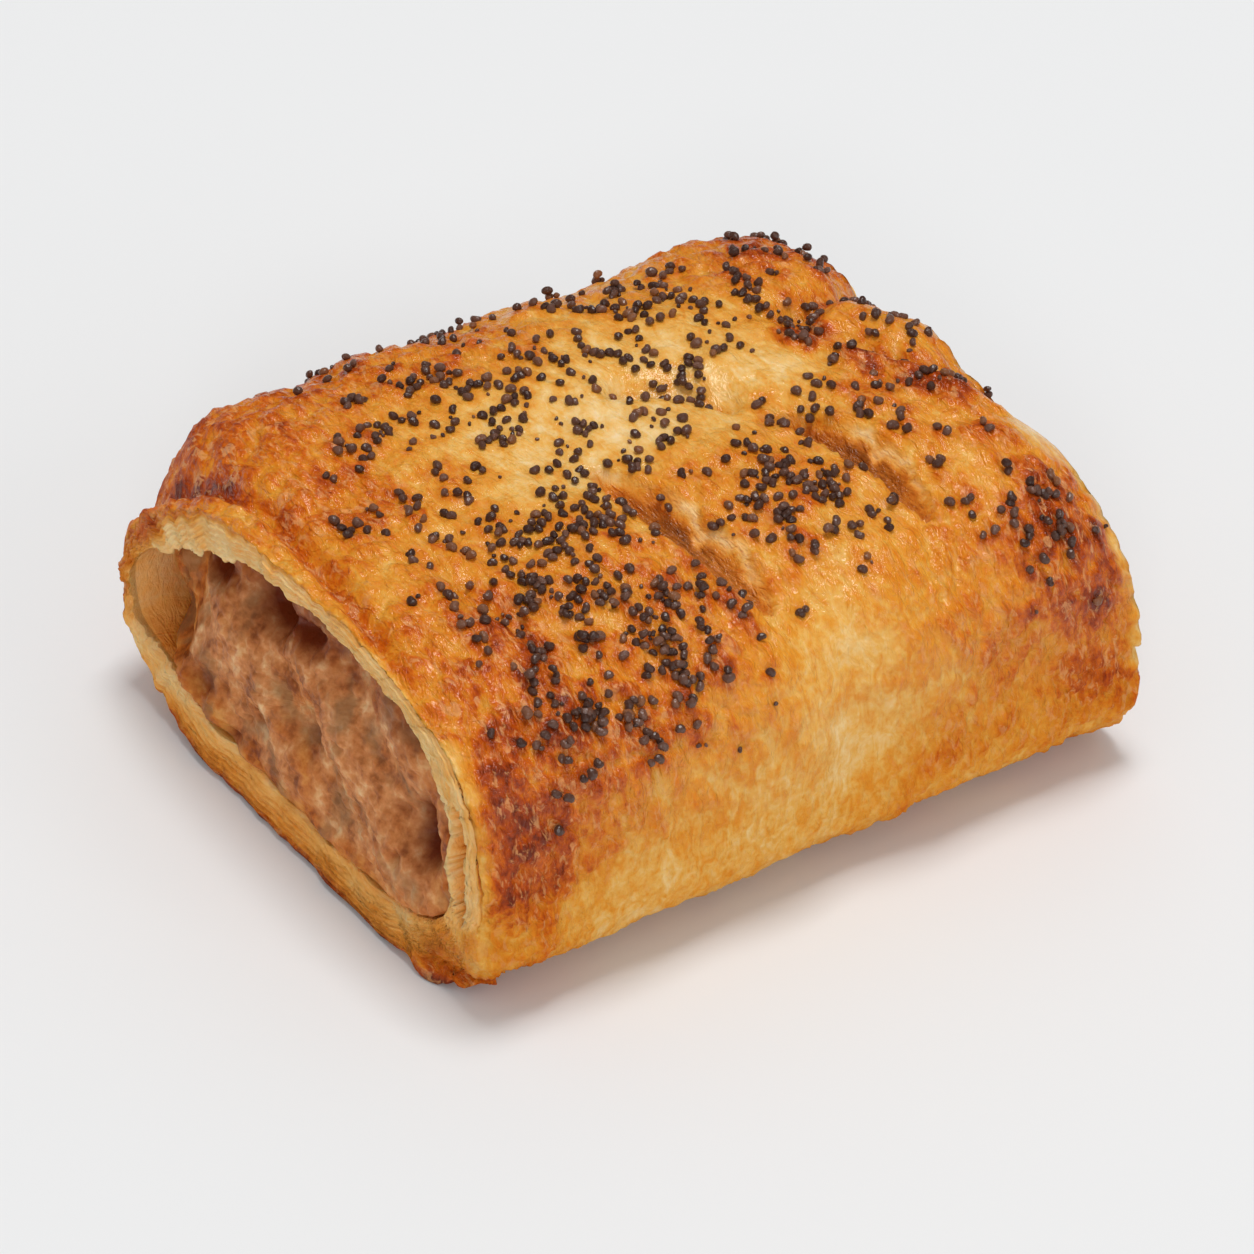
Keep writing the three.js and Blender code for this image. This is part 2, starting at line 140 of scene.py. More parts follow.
# Angles go round the roll from the back (0) over the crown to the front (pi) and under it
def smooth_roll(x, angle, inset=0.0, gap=0.0):
    """A point of the smooth roll, taken in from its surface by the walls' thickness times inset"""
    x, angle = np.broadcast_arrays(x, angle)
    near_end = 1 - smooth((x + HALF_LENGTH) / NEAR_TAPER)
    far_end = 1 - smooth((HALF_LENGTH - x) / FAR_TAPER)
    crown = blend(blend(HEIGHT, NEAR_HEIGHT, near_end), FAR_HEIGHT, far_end)
    middle = WIDEST_HEIGHT * crown / HEIGHT
    across, up = np.cos(angle), np.sin(angle)
    front = blend(FRONT_HALF_WIDTH, NEAR_FRONT_HALF_WIDTH, near_end)
    back = blend(BACK_HALF_WIDTH, NEAR_BACK_HALF_WIDTH, near_end)
    half_width = np.where(across > 0, back - BACK_WALL * inset, front - FRONT_WALL * inset) - gap
    top_squareness = blend(TOP_SQUARENESS, NEAR_BACK_SQUARENESS, np.where(across > 0, near_end, 0))
    near_base_squareness = np.where(across > 0, NEAR_BACK_BASE_SQUARENESS, NEAR_BASE_SQUARENESS)
    base_squareness = blend(BASE_SQUARENESS, near_base_squareness, near_end)
    squareness = np.where(up >= 0, top_squareness, base_squareness)
    reach = (np.abs(across) ** squareness + np.abs(up) ** squareness) ** (-1 / squareness)
    rise_up = crown - middle - CROWN_WALL * inset - gap
    rise_down = middle + BASE_SINK - BASE_WALL * inset - gap
    z = middle + np.where(up >= 0, rise_up, rise_down) * up * reach
    floor = BASE_WALL * inset + gap
    return np.stack([x, half_width * across * reach, np.maximum(z, floor)], axis=-1)


def outward(x, angle):
    step = 0.01
    tangent = smooth_roll(x, angle + step) - smooth_roll(x, angle - step)
    normal = np.stack([np.zeros_like(tangent[..., 0]), tangent[..., 2], -tangent[..., 1]], axis=-1)
    return normal / np.linalg.norm(normal, axis=-1, keepdims=True)


# The strips between the slashes puff up
PUFF_HEIGHT = 1.6
PUFF_Y = -16
PUFF_REACH = 15
PUFF_MEAN = 0.65                # share of the puff that counts as level, here and below
FIRST_SLASH_X = -26             # the creases between the strips, along the roll
SLASH_SPACING = 22
SLASH_SLANT = 0.18              # how far they lean along the roll for each mm across
DEEPEST_CUT = -3.4

# Each slash runs from one point of the plan to another. A torn one has a crisp edge on its near
# side, a darker foot that is partly browned and partly painted shade, and a slope with pale
# strands; the others have closed to smooth valleys.
slashes = [
    {"start": (-27.5, -13), "end": (-24.5, -25), "edge": 1.4, "slope": 2.4, "depth": 0.9},
    {"start": (-5.6, -4), "end": (-0.8, -30), "edge": 2.2, "slope": 4.4, "depth": 3.3, "torn": True},
    {"start": (15.8, -6.0), "end": (20.4, -27), "edge": 1.0, "slope": 3.8, "depth": 2.8, "torn": True,
     "bow": 1.3},
    {"start": (3.5, 6.5), "end": (13.5, -2.5), "edge": 1.4, "slope": 2.4, "depth": 2.0, "bow": 1.8},
    {"start": (25.5, 9), "end": (38.5, -17), "edge": 1.0, "slope": 3.0, "depth": 1.7, "ridge": 0.7},
    {"start": (28, 8.5), "end": (43, 12), "edge": 2.4, "slope": 2.4, "depth": 2.0},
]
RIDGE_AT = -1.9                 # beside the slash whose near side has risen to a ridge
RIDGE_WIDTH = 1.2

# Between the last slashes the far end has puffed up into lobes: where, how broad, how high
lobes = [((38.3, -1), (3.5, 4.6), 2.0), ((37.5, -22.5), (4, 6), 1.0)]
SLASH_FADE = 0.2                # share of a soft slash over which each end runs out
OPENING_BLUNTNESS = 0.45        # a torn slash opens more suddenly at its ends the nearer this is to 0
CURL_HEIGHT = 0.4               # its near edge has curled up, this far beside the opening
CURL_WIDTH = 0.8
CURL_BESIDE = 0.9
LEAST_WIDTH = 1e-6
SLASH_WALL = 0.07               # shares of a torn slash's width, from its near edge on
FOOT_END = (0.66, 0.14)
SLASH_RISE = 0.50
STRANDS_AT = 0.80
STRANDS_WIDTH = 0.07
STRANDS_FROM = (0.2, 0.25)      # shares of its length
# how its edge and its strands waver: how far, how often along it, and from where
edge_waver = [(0.20, 17, 0), (0.12, 41, 0)]
strands_waver = [(0.06, 19, 1), (0.04, 47, 0)]


def slash_place(slash, x, y):
    """How far along a slash each point lies, from 0 to 1, and how many millimetres beside it"""
    start_x, start_y = slash["start"]
    run_x, run_y = slash["end"][0] - start_x, slash["end"][1] - start_y
    length = math.hypot(run_x, run_y)
    along = ((x - start_x) * run_x + (y - start_y) * run_y) / length ** 2
    beside = (-(x - start_x) * run_y + (y - start_y) * run_x) / length
    return along, beside - slash.get("bow", 0) * np.sin(np.pi * np.clip(along, 0, 1))


def wavering(along, waves):
    return sum(reach * np.sin(along * often + start) for reach, often, start in waves)


def slash_shape(slash, x, y):
    """How deep a slash is at each point, how bare its plies are and how dark its foot is, by browning and
    painted shade
    """
    along, beside = slash_place(slash, x, y)
    if not slash.get("torn"):
        ends = smooth(along / SLASH_FADE + 0.5) * smooth((1 - along) / SLASH_FADE + 0.5)
        valley = ends * hump(beside, np.where(beside > 0, slash["slope"], slash["edge"]))
        ridge = slash.get("ridge", 0) * ends * hump(beside - RIDGE_AT, RIDGE_WIDTH)
        return slash["depth"] * valley - ridge, 0 * valley, 0 * valley

    opening = np.sin(np.pi * np.clip(along, 0, 1)) ** OPENING_BLUNTNESS
    edge = (slash["edge"] + wavering(along, edge_waver)) * opening
    width = edge + slash["slope"] * opening
    up_slope = (beside + edge) / np.maximum(width, LEAST_WIDTH)
    inside = (up_slope > 0) & (up_slope < 1)
    wall = smooth(up_slope / SLASH_WALL)
    fall = 1 - past(up_slope, SLASH_RISE, 1 - SLASH_RISE)
    depth = np.where(inside, slash["depth"] * wall * fall * np.sqrt(opening), 0)
    curl = CURL_HEIGHT * opening * hump(beside + edge + CURL_BESIDE, CURL_WIDTH)
    strands_at = STRANDS_AT + wavering(along, strands_waver)
    strands = hump(up_slope - strands_at, STRANDS_WIDTH) * past(along, *STRANDS_FROM) * opening
    bare_ply = np.where(inside, strands, 0)
    # the foot's darker colour is partly browning and partly painted shade under the near wall
    foot = np.where(inside, wall * (1 - past(up_slope, *FOOT_END)) * opening, 0)
    return depth - curl, bare_ply, foot


def puff_height(x, y):
    strips = (x - FIRST_SLASH_X + SLASH_SLANT * (y - PUFF_Y)) / SLASH_SPACING
    pillow = np.sqrt(np.abs(np.sin(np.pi * strips))) - PUFF_MEAN
    swelling = sum(height * patch(x, y, middle, reach) for middle, reach, height in lobes)
    return PUFF_HEIGHT * pillow * hump(y - PUFF_Y, PUFF_REACH) + swelling


# How brown the crust is, from 0 for pale cream to 1 for scorched: where, how far round, how much
bakes = [
    ((-37, -36, 23), 5, 1.0), ((-35, -37, 17), 4, 0.88), ((-35, -33, 28), 3, 0.76),
    ((-38, -37, 10), 4, 0.32), ((-39, 27, 23), 5, 0.66), ((-39, 33, 13), 5, 0.68),
    ((-38, 12, 33), 5, 0.50), ((-35, 28, 28), 4, 0.84), ((-38, 1, 34), 4, 0.50),
    ((-32, -10, 35), 5, 0.46), ((-30, 7, 35), 5, 0.78), ((-37, -22, 32), 5, 0.54),
    ((-24, -37, 20), 5, 0.62), ((-25, -35, 26), 4, 0.74), ((-15, -35, 27), 4, 0.62),
    ((-30, -24, 33), 7, 0.76), ((-31, 20, 33), 7, 0.76), ((-31, 31, 28), 8, 0.82),
    ((-19, 27, 32), 7, 0.68), ((-6, 23, 34), 6, 0.60), ((12, 26, 32), 9, 0.44), ((33, 24, 33), 7, 0.72),
    ((26.5, 4.5, 36), 3, 0.86), ((30.5, -3.5, 36), 3, 0.88), ((33.5, -10.5, 35), 3, 0.90),
    ((36, 0, 34), 4, 0.42), ((33, 3.5, 35), 3, 0.48), ((0, 1, 36), 7, 0.08), ((-9, -3, 36), 5, 0.20),
    ((-7, 8, 36), 6, 0.22), ((12, 9, 36), 8, 0.16), ((20, 2, 36), 5, 0.26), ((3, -11, 35), 4, 0.54),
    ((9, -19, 35), 5, 0.52), ((14, -24, 34), 4, 0.30), ((26, -10, 36), 4, 0.54),
    ((38, -9, 33), 3, 0.60), ((26, -24, 33), 4, 0.46), ((34, -30, 31), 3, 0.78),
    ((38, -22, 32), 3, 0.18), ((35, -36, 23), 4, 0.78), ((37, -37, 14), 4, 0.78),
    ((34, -37, 5), 4, 0.44), ((20, -37, 12), 6, 0.56), ((21, -37, 4), 4, 0.34),
    ((24, -36, 22), 5, 0.62), ((12, -37, 20), 5, 0.40), ((5, -37, 16), 4, 0.16),
    ((4, -35, 27), 6, 0.26), ((-6, -37, 9), 8, 0.28), ((-15, -37, 18), 5, 0.42),
    ((-22, -37, 8), 6, 0.26), ((-9, -24, 33), 6, 0.60),
]
BAKE_PULL = 0.25                # how strongly the general rule counts beside these places
BAKED = 0.44                    # the general rule, and how much more at the ends and the shoulders
BAKED_AT_ENDS = 0.16
BAKED_AT_SHOULDERS = 0.14
ENDS_FROM = (22, 14)
SHOULDERS_FROM = (16, 12)
SHOULDER_HEIGHT = 30


def browning_of(point):
    x, y, z = point[..., 0], point[..., 1], point[..., 2]
    at_shoulders = past(np.abs(y), *SHOULDERS_FROM) * smooth(z / SHOULDER_HEIGHT)
    level = BAKED + BAKED_AT_ENDS * past(np.abs(x), *ENDS_FROM) + BAKED_AT_SHOULDERS * at_shoulders
    total = level * BAKE_PULL
    weight = np.full_like(x, BAKE_PULL)
    for place, reach, brown in bakes:
        near = hump(np.linalg.norm(point - np.array(place), axis=-1), reach)
        total = total + near * brown
        weight = weight + near
    return total / weight


# Folds and swirls: the crease behind the near lip, the flake squeezed out at the near corner,
# the rings of plies above it, and an upright fold in the front side
crease_line = [(0.3, 2.9), (0.6, 3.5), (0.9, 4.0), (1.3, 5.2), (1.7, 3.9), (2.0, 2.4), (2.3, 1.3)]
CREASE_DEPTH = 1.7
CREASE_WIDTH = 1.1
CREASE_FROM = (0.25, 0.3)       # angles
CREASE_TO = (1.9, 0.5)
COLLAR = 1.3                    # how far the near lip swells out over its back
COLLAR_ANGLE = 0.30
COLLAR_REACH = 0.40
COLLAR_DISTANCE = 1.5
COLLAR_WIDTH = 1.8
COLLAR_ROLL = 1.3               # how much further it turns down towards the cut
FOOT_FLARE = 1.6                # how far the foot of the near end flares out in front
FOOT_LENGTH = 12
FOOT_ANGLE = 1.13 * math.pi
FOOT_REACH = 0.16
CORNER_SETTLE = 3.1             # how far the near corner has sunk onto the tray
SETTLE_TOP = (1, 9)
CORNER_ROUND = 2.6              # and how far it is rounded off in plan
CORNER_ROUND_FROM = (24, 8)
CORNER_ROUND_HEIGHT = 8
CORNER_ROUND_LENGTH = 8
CORNER_ROLL = 2.2               # how much more its edge is rounded off, over this length:
CORNER_ROLL_LENGTH = 7.5
CORNER_ANGLE = 1.12 * math.pi
CORNER_REACH = 0.35
FLAKE_STAND = 0.6               # the loose flake under the corner, out to the front and the near end
FLAKE_OUT = 0.3
FLAKE_HEIGHT = 1.7
FLAKE_EDGE = 0.4
FLAKE_LENGTH = 7
FLAKE_FROM = (23, 5)
GROOVE_DEPTH = 0.7              # the groove over the flake
GROOVE_ABOVE = 0.6
GROOVE_WIDTH = 0.6
BASE_STAND = 0.8                # how far the foot of the roll spreads beyond its sides
BASE_SPREAD_HEIGHT = 5
BASE_SPREAD_SIDE = 20
SWIRL_MIDDLE = (-36.0, -36.5, 11.5)
SWIRL_SPACING = 1.5
SWIRL_REACH = 9
SWIRL_DEPTH = 0.50
SWIRL_WARP = 0.6
SWIRL_BROWNING = 1.6            # how much more its edges brown than blisters as high
DENT_DEPTH = 0.8                # the upright fold in the front side
DENT_X = 5
DENT_WIDTH = 4
DENT_REACH = 6
BACK_SHOULDER = 0.9             # how far the shoulder at the back swells out
SHOULDER_ANGLE = 1.0
SHOULDER_REACH = 0.4
SHOULDER_FROM = (-38, 8)
SHOULDER_TO = 14
FAR_SWELL = 0.8                 # and the far end
FAR_SWELL_HEIGHT = 17
FAR_SWELL_REACH = 10
FAR_SWELL_FROM = 26
LIP_ROLL = 1.1                  # how far the crust turns down towards the cuts, over this length:
LIP_ROLL_LENGTH = 3.0
FRONT_ROLL = 1.2                # and how much more on the front side
FRONT_SIDE = (0.1875, 0.625)
FAR_FRONT_ROLL = 0.2            # share of it at the far end
ROLL_HEIGHT = 8

# The skin: slow waves in the sheet, as radians of wave for each millimetre along it and each
# radian round it, then lumps, pillows, blisters, crinkles and the edges of the top plies
waves = [(0.21, 2), (0.13, -3), (0.35, -4)]
UNDULATION = 0.3
SHORT_WAVE = 0.7
SHORT_WAVE_START = 1.3
TOP_FROM = (0.6 * HEIGHT, 0.23 * HEIGHT)
SIDE_HEIGHT = 0.25 * HEIGHT
SKIN_WARP = 1.6
WARP_SIZE = 6
WARP_SEEDS = (21.0, 22.0, 23.0)
SKIN_STRETCH = (1.0, 0.7, 0.7)
ROUGH_FROM = (0.30, 0.35)       # browning at which the skin turns rough
PALE_ROUGHNESS = 0.25           # share of pillows and blisters, and of crinkles, where it is pale
PALE_CRINKLES = 0.4
LUMP = 0.38
LUMP_NOISE = (8, 2, 3.1)
PILLOW = 0.70
PILLOW_SIZE = 4.6
PILLOW_MEAN = 0.55
PILLOW_SLOPE = 1.6
BLISTER = 0.62
BLISTER_SIZE = 2.1
BLISTER_MEAN = 0.6
CRINKLE = 0.38
CRINKLE_NOISE = (1.3, 2, 5.2)
CRINKLE_MEAN = 0.35
PLY_STEP = 0.40                 # low steps round the lumps of this noise:
PLY_STEP_NOISE = (6.0, 2, 8.8)
PLY_STEP_WARP = 1.5
PLY_STEPS = 2.4
STEP_RISE = 0.16
PLIES_SHOWN = 0.12              # how far the steps show, and how much more low in front and near the end
PLIES_LOW_IN_FRONT = 0.55
PLIES_AT_NEAR_END = 0.3
PLIES_END_LENGTH = 7
LOW_FRONT_SIDE = (20, 10)
LOW_FRONT_TOP = (8, 10)
SMOOTH_IN_SLASH = 0.85
SKIN_FROM_BASE = 2.5


def pillows(points, size, seed=0.0):
    """Rounded cushions of the given size: 1 in the middle of each, 0 in the creases between them"""
    places = (points.reshape(-1, 3) / size + seed).tolist()
    values = []
    for place in places:
        distances = noise.voronoi(place)[0]
        values.append(min((distances[1] - distances[0]) * PILLOW_SLOPE, 1.0))
    return np.sqrt(np.array(values).reshape(points.shape[:-1]))


def crease_at(x, angle):
    """How strongly each point lies in the crease behind the near lip, from 0 to 1"""
    at = np.interp(angle, [place for place, _ in crease_line], [far for _, far in crease_line])
    reach = past(angle, *CREASE_FROM) * (1 - past(angle, *CREASE_TO))
    return reach * hump(x + HALF_LENGTH - at, CREASE_WIDTH)


def steps(height):
    """A sawtooth that climbs steeply and falls back slowly, for edges of plies that overlap"""
    share = height - np.floor(height)
    return smooth(share / STEP_RISE) - share


def at_corner(x, y):
    """How near to the loose flake under the near corner each point is, from 0 to 1"""
    return (1 - smooth((x + HALF_LENGTH) / FLAKE_LENGTH)) * past(-y, *FLAKE_FROM)


def swollen_end(z):
    """How much further the far end reaches at each height"""
    return FAR_SWELL * hump(z - FAR_SWELL_HEIGHT, FAR_SWELL_REACH)


def rounded_off(point):
    """How far each point of the near end lies further in, where the low corner is rounded off"""
    low = 1 - smooth(point[..., 2] / CORNER_ROUND_HEIGHT)
    return CORNER_ROUND * past(-point[..., 1], *CORNER_ROUND_FROM) * low


def crust_relief(x, angle, point):
    """How far the crust stands out from the smooth roll, and how much of it is blisters"""
    y, z = point[..., 1], point[..., 2]
    from_near = x + HALF_LENGTH
    on_top = past(z, *TOP_FROM)
    above_base = smooth(z / SIDE_HEIGHT)
    shapes = [slash_shape(slash, x, y) for slash in slashes]
    cuts = sum(shape[0] for shape in shapes)
    crease = CREASE_DEPTH * crease_at(x, angle)
    foot = FOOT_FLARE * hump(angle - FOOT_ANGLE, FOOT_REACH) * (1 - smooth(from_near / FOOT_LENGTH))
    at_collar = hump(angle - COLLAR_ANGLE, COLLAR_REACH)
    collar = COLLAR * hump(from_near - COLLAR_DISTANCE, COLLAR_WIDTH) * at_collar
    groove = GROOVE_DEPTH * at_corner(x, y) * hump(z - FLAKE_HEIGHT - GROOVE_ABOVE, GROOVE_WIDTH)
    shoulder = BACK_SHOULDER * hump(angle - SHOULDER_ANGLE, SHOULDER_REACH)
    shoulder = shoulder * past(x, *SHOULDER_FROM) * (1 - smooth(x / SHOULDER_TO))
    dent = DENT_DEPTH * hump(x - DENT_X, DENT_WIDTH) * hump(y + FRONT_HALF_WIDTH, DENT_REACH)
    first, second, third = (along * x + round_it * angle for along, round_it in waves)
    slow = np.sin(first) * np.cos(second) + SHORT_WAVE * np.sin(third + SHORT_WAVE_START)
    form = (puff_height(x, y) - cuts) * on_top + (UNDULATION * slow - dent) * above_base \
        + collar - crease + foot - groove + shoulder
    low_corner = hump(angle - CORNER_ANGLE, CORNER_REACH) * (x < 0)
    roll_length = blend(LIP_ROLL_LENGTH, CORNER_ROLL_LENGTH, low_corner)
    from_cut = np.clip((HALF_LENGTH - np.abs(x)) / roll_length, 0, 1)
    in_front = past(-np.cos(angle), *FRONT_SIDE) * np.where(x < 0, 1, FAR_FRONT_ROLL)
    turned_down = LIP_ROLL + FRONT_ROLL * in_front + COLLAR_ROLL * at_collar + CORNER_ROLL * low_corner
    roll = turned_down * (1 - np.sqrt(1 - (1 - from_cut) ** 2)) * smooth(z / ROLL_HEIGHT)

    warp = np.stack([fractal(point, WARP_SIZE, 1, seed) for seed in WARP_SEEDS], axis=-1)
    stretched = (point + SKIN_WARP * warp) * np.array(SKIN_STRETCH)
    rough = past(browning_of(point), *ROUGH_FROM)
    raised = blend(PALE_ROUGHNESS, 1, rough)
    lumps = LUMP * fractal(point, *LUMP_NOISE)
    cushions = PILLOW * (pillows(stretched, PILLOW_SIZE) - PILLOW_MEAN) * raised
    blisters = BLISTER * (pillows(stretched, BLISTER_SIZE, seed=5.5) - BLISTER_MEAN) * raised
    crinkles = CRINKLE * (CRINKLE_MEAN - np.abs(fractal(stretched, *CRINKLE_NOISE)))
    crinkles = crinkles * blend(PALE_CRINKLES, 1, rough)
    in_slash = np.clip(sum(shape[2] for shape in shapes), 0, 1) * on_top
    kept = 1 - SMOOTH_IN_SLASH * in_slash
    low_front = (1 - past(z, *LOW_FRONT_TOP)) * past(-y, *LOW_FRONT_SIDE)
    shown = PLIES_SHOWN + PLIES_LOW_IN_FRONT * low_front \
        + PLIES_AT_NEAR_END * (1 - smooth(from_near / PLIES_END_LENGTH))
    plies = PLY_STEP * steps(fractal(point + PLY_STEP_WARP * warp, *PLY_STEP_NOISE) * PLY_STEPS)
    plies = plies * np.clip(shown, 0, 1)
    from_swirl = np.linalg.norm(point - np.array(SWIRL_MIDDLE), axis=-1) + SWIRL_WARP * warp[..., 0]
    swirl = SWIRL_DEPTH * steps(-from_swirl / SWIRL_SPACING) * (1 - smooth(from_swirl / SWIRL_REACH))
    blistered = (cushions + blisters + crinkles) * kept
    detail = (lumps * kept + blistered + plies + swirl) * smooth(z / SKIN_FROM_BASE)
    return np.maximum(form - roll + detail, DEEPEST_CUT), blistered + plies + SWIRL_BROWNING * swirl


def crust_point(x, angle):
    x, angle = np.broadcast_arrays(np.asarray(x, float), np.asarray(angle, float))
    point = smooth_roll(x, angle)
    point = point + outward(x, angle) * crust_relief(x, angle, point)[0][..., None]
    settled = CORNER_SETTLE * at_corner(x, point[..., 1]) * (1 - past(point[..., 2], *SETTLE_TOP))
    point[..., 2] = np.maximum(point[..., 2] - settled, 0)
    spread = BASE_STAND * (1 - smooth(point[..., 2] / BASE_SPREAD_HEIGHT))
    point[..., 1] -= spread * smooth(-point[..., 1] / BASE_SPREAD_SIDE)
    flake = at_corner(x, point[..., 1]) * (1 - past(point[..., 2], FLAKE_HEIGHT, FLAKE_EDGE))
    point[..., 1] -= FLAKE_STAND * flake
    point[..., 0] += rounded_off(point) * (1 - smooth((x + HALF_LENGTH) / CORNER_ROUND_LENGTH))
    point[..., 0] += swollen_end(point[..., 2]) * past(x, FAR_SWELL_FROM, HALF_LENGTH - FAR_SWELL_FROM)
    return point


# How thick the wall is at the cuts, as a share of its thickness inside: (angle, share). It is
# thin down the back and thick above and below that.
MOUTH_DEPTH = 6.5
mouth_walls = [
    (0.12, 0.5), (0.38, 1.15), (0.58, 1.65), (0.85, 1.5), (1.2, 1.22), (1.75, 0.85), (2.3, 0.76),
    (2.9, 1), (5.0, 1), (5.45, 1.35), (5.7, 1.1), (5.95, 0.5),
]


def mouth_wall(angle):
    return np.interp(angle, [place for place, _ in mouth_walls], [share for _, share in mouth_walls])


def inside_point(x, angle):
    """A point of the inside of the pastry, whose wall changes towards the cuts"""
    x, angle = np.broadcast_arrays(np.asarray(x, float), np.asarray(angle, float))
    towards_cut = 1 - smooth((HALF_LENGTH - np.abs(x)) / MOUTH_DEPTH)
    return smooth_roll(x, angle, blend(1, mouth_wall(angle), towards_cut))


# The cut edge: the browned skin rolls over into a face of bare plies, each a little ragged, and
# some hang down into the mouth. At the near front the plies have parted and left a gap.
LIP_ROUND = 1.0
LIP_LEAN = 0.5
LIP_GROOVE = 0.32               # between two plies, from this far below the skin:
LIP_GROOVE_FROM = 0.8
LIP_ROWS = 26
PLY_THICKNESS = 0.62
PLY_WAVER = 0.25
PLY_WAVER_NOISE = (5, 2, 2.0)
LIP_RAG = 0.55
LIP_RAG_MEAN = 0.6
LIP_RAG_NOISE = (3.0, 3, 11.0)
LIP_RAG_AT_SKIN = 0.4           # share of it next to the skin
DEEPEST_RAG = 1.7
TORN_PLY = 0.35
TORN_PLY_NOISE = (2.0, 2, 17.0)
TORN_SHIFT = 3.7                # from one pair of plies to the next, so that each tears its own way
HANGING_PLY = 1.3
HANGING_MEAN = 0.15
HANGING_NOISE = (2.6, 3, 31.0)
HANGING_FROM = (0.2, 2 / 3)     # sines of the angle
UNEVEN_EDGE = 0.45
UNEVEN_EDGE_NOISE = (7, 2, 35.0)
SKIN_ROUNDING = (0.55, 0.5)     # how far each edge of the cut is rounded off, and how broadly
INNER_ROUNDING = (0.7, 0.35)
GROOVE_WIDTH_AT_LIP = 0.5
PLY_GAP_Y = -32.1
PLY_GAP_Z = 17.5
PLY_GAP_HEIGHT = 7.4            # half of its height and of its width
PLY_GAP_WIDTH = 1.5
PLY_GAP_DEPTH = 4.5
PLY_GAP_WAVER = 0.25
PLY_GAP_NOISE = (2.5, 2, 41.0)
PLY_GAP_LEAN = 0.05
PLY_GAP_EDGE = 0.35
RING_RADIUS = 24                # of the rings on which the lips' raggedness is laid out
RING_DISTANCE = 7.0


def lip_ring(end, angle):
    height = np.full_like(angle, RING_DISTANCE * end)
    return np.stack([np.cos(angle) * RING_RADIUS, np.sin(angle) * RING_RADIUS, height], axis=-1)


def lip_point(end, across, angle):
    crust = crust_point(end * (HALF_LENGTH - LIP_ROUND), angle)
    inner = inside_point(end * (HALF_LENGTH - LIP_ROUND), angle)
    wall = np.linalg.norm(inner - crust, axis=-1)
    inward = (inner - crust) / wall[..., None]
    ring = lip_ring(end, angle)
    hanging = np.maximum(fractal(ring, *HANGING_NOISE) + HANGING_MEAN, 0) * HANGING_PLY
    hanging = hanging * past(np.sin(angle), *HANGING_FROM)
    uneven = UNEVEN_EDGE * fractal(ring, *UNEVEN_EDGE_NOISE)
    point = blend(crust, inner, across) + inward * ((hanging + uneven) * across ** 3)[..., None]
    y, z = point[..., 1], point[..., 2]
    below_skin = across * wall
    wavy = below_skin + PLY_WAVER * fractal(ring, *PLY_WAVER_NOISE)
    plies = LIP_GROOVE * (0.5 + 0.5 * np.cos(2 * np.pi * wavy / PLY_THICKNESS))
    plies = plies * smooth(below_skin / LIP_GROOVE_FROM)
    ragged = LIP_RAG * (LIP_RAG_MEAN + fractal(ring, *LIP_RAG_NOISE)) * blend(LIP_RAG_AT_SKIN, 1, across)
    layer = np.floor(wavy / (2 * PLY_THICKNESS))
    torn = TORN_PLY * np.maximum(fractal(ring + layer[..., None] * TORN_SHIFT, *TORN_PLY_NOISE), 0)
    rounding = SKIN_ROUNDING[0] * hump(below_skin, SKIN_ROUNDING[1]) \
        + INNER_ROUNDING[0] * hump((1 - across) * wall, INNER_ROUNDING[1])
    lean = LIP_LEAN * smooth(z / HEIGHT)
    profile = np.clip(plies + ragged + torn + rounding, 0, DEEPEST_RAG)
    profile = np.minimum(profile, LIP_ROUND - lean + below_skin)
    up_gap = np.clip(1 - ((z - PLY_GAP_Z) / PLY_GAP_HEIGHT) ** 2, 0, 1)
    gap_width = PLY_GAP_WIDTH * np.sqrt(up_gap) * (1 + PLY_GAP_WAVER * fractal(ring, *PLY_GAP_NOISE))
    beside_gap = np.abs(y - PLY_GAP_Y - PLY_GAP_LEAN * (z - PLY_GAP_Z))
    gap = smooth((gap_width - beside_gap) / PLY_GAP_EDGE) * (end < 0)
    corner = at_corner(-HALF_LENGTH, y) * (end < 0)
    flake = corner * (1 - past(z, FLAKE_HEIGHT, FLAKE_EDGE))
    groove = GROOVE_DEPTH * corner * hump(z - FLAKE_HEIGHT - GROOVE_ABOVE, GROOVE_WIDTH_AT_LIP)
    spread = BASE_STAND * (1 - smooth(z / BASE_SPREAD_HEIGHT)) + FLAKE_OUT * flake - groove
    spread = spread - rounded_off(point) if end < 0 else spread + swollen_end(z)
    profile = profile * (1 - np.maximum(flake, gap))
    point[..., 0] = end * (HALF_LENGTH - lean - profile - PLY_GAP_DEPTH * gap + spread)
    return point


# The sheet is divided about as finely as its blisters need, most finely along the torn slashes
# and more coarsely underneath
COLUMN_STEP = 0.43
ROW_STEP = 0.52
SLASH_FINENESS = 0.6
BASE_COARSENESS = 0.3
MEASURING_STEPS = 4001
ON_BASE = 0.01                  # what lies lower than this is taken as the flat base
CLOSEST_POINTS = 1e-4
INSIDE_RELIEF = 0.12
INSIDE_NOISE = (4, 2, 0.0)
# where along the roll the rows lie closest, and over what reach
close_rows_at = [(-4, 5), (19, 5), (-HALF_LENGTH, 6)]
inner_distances = [1.9, 2.5, 3.1, 3.8, 4.5, 5.3, 6.2, 7.2, 9.0, 14.0]


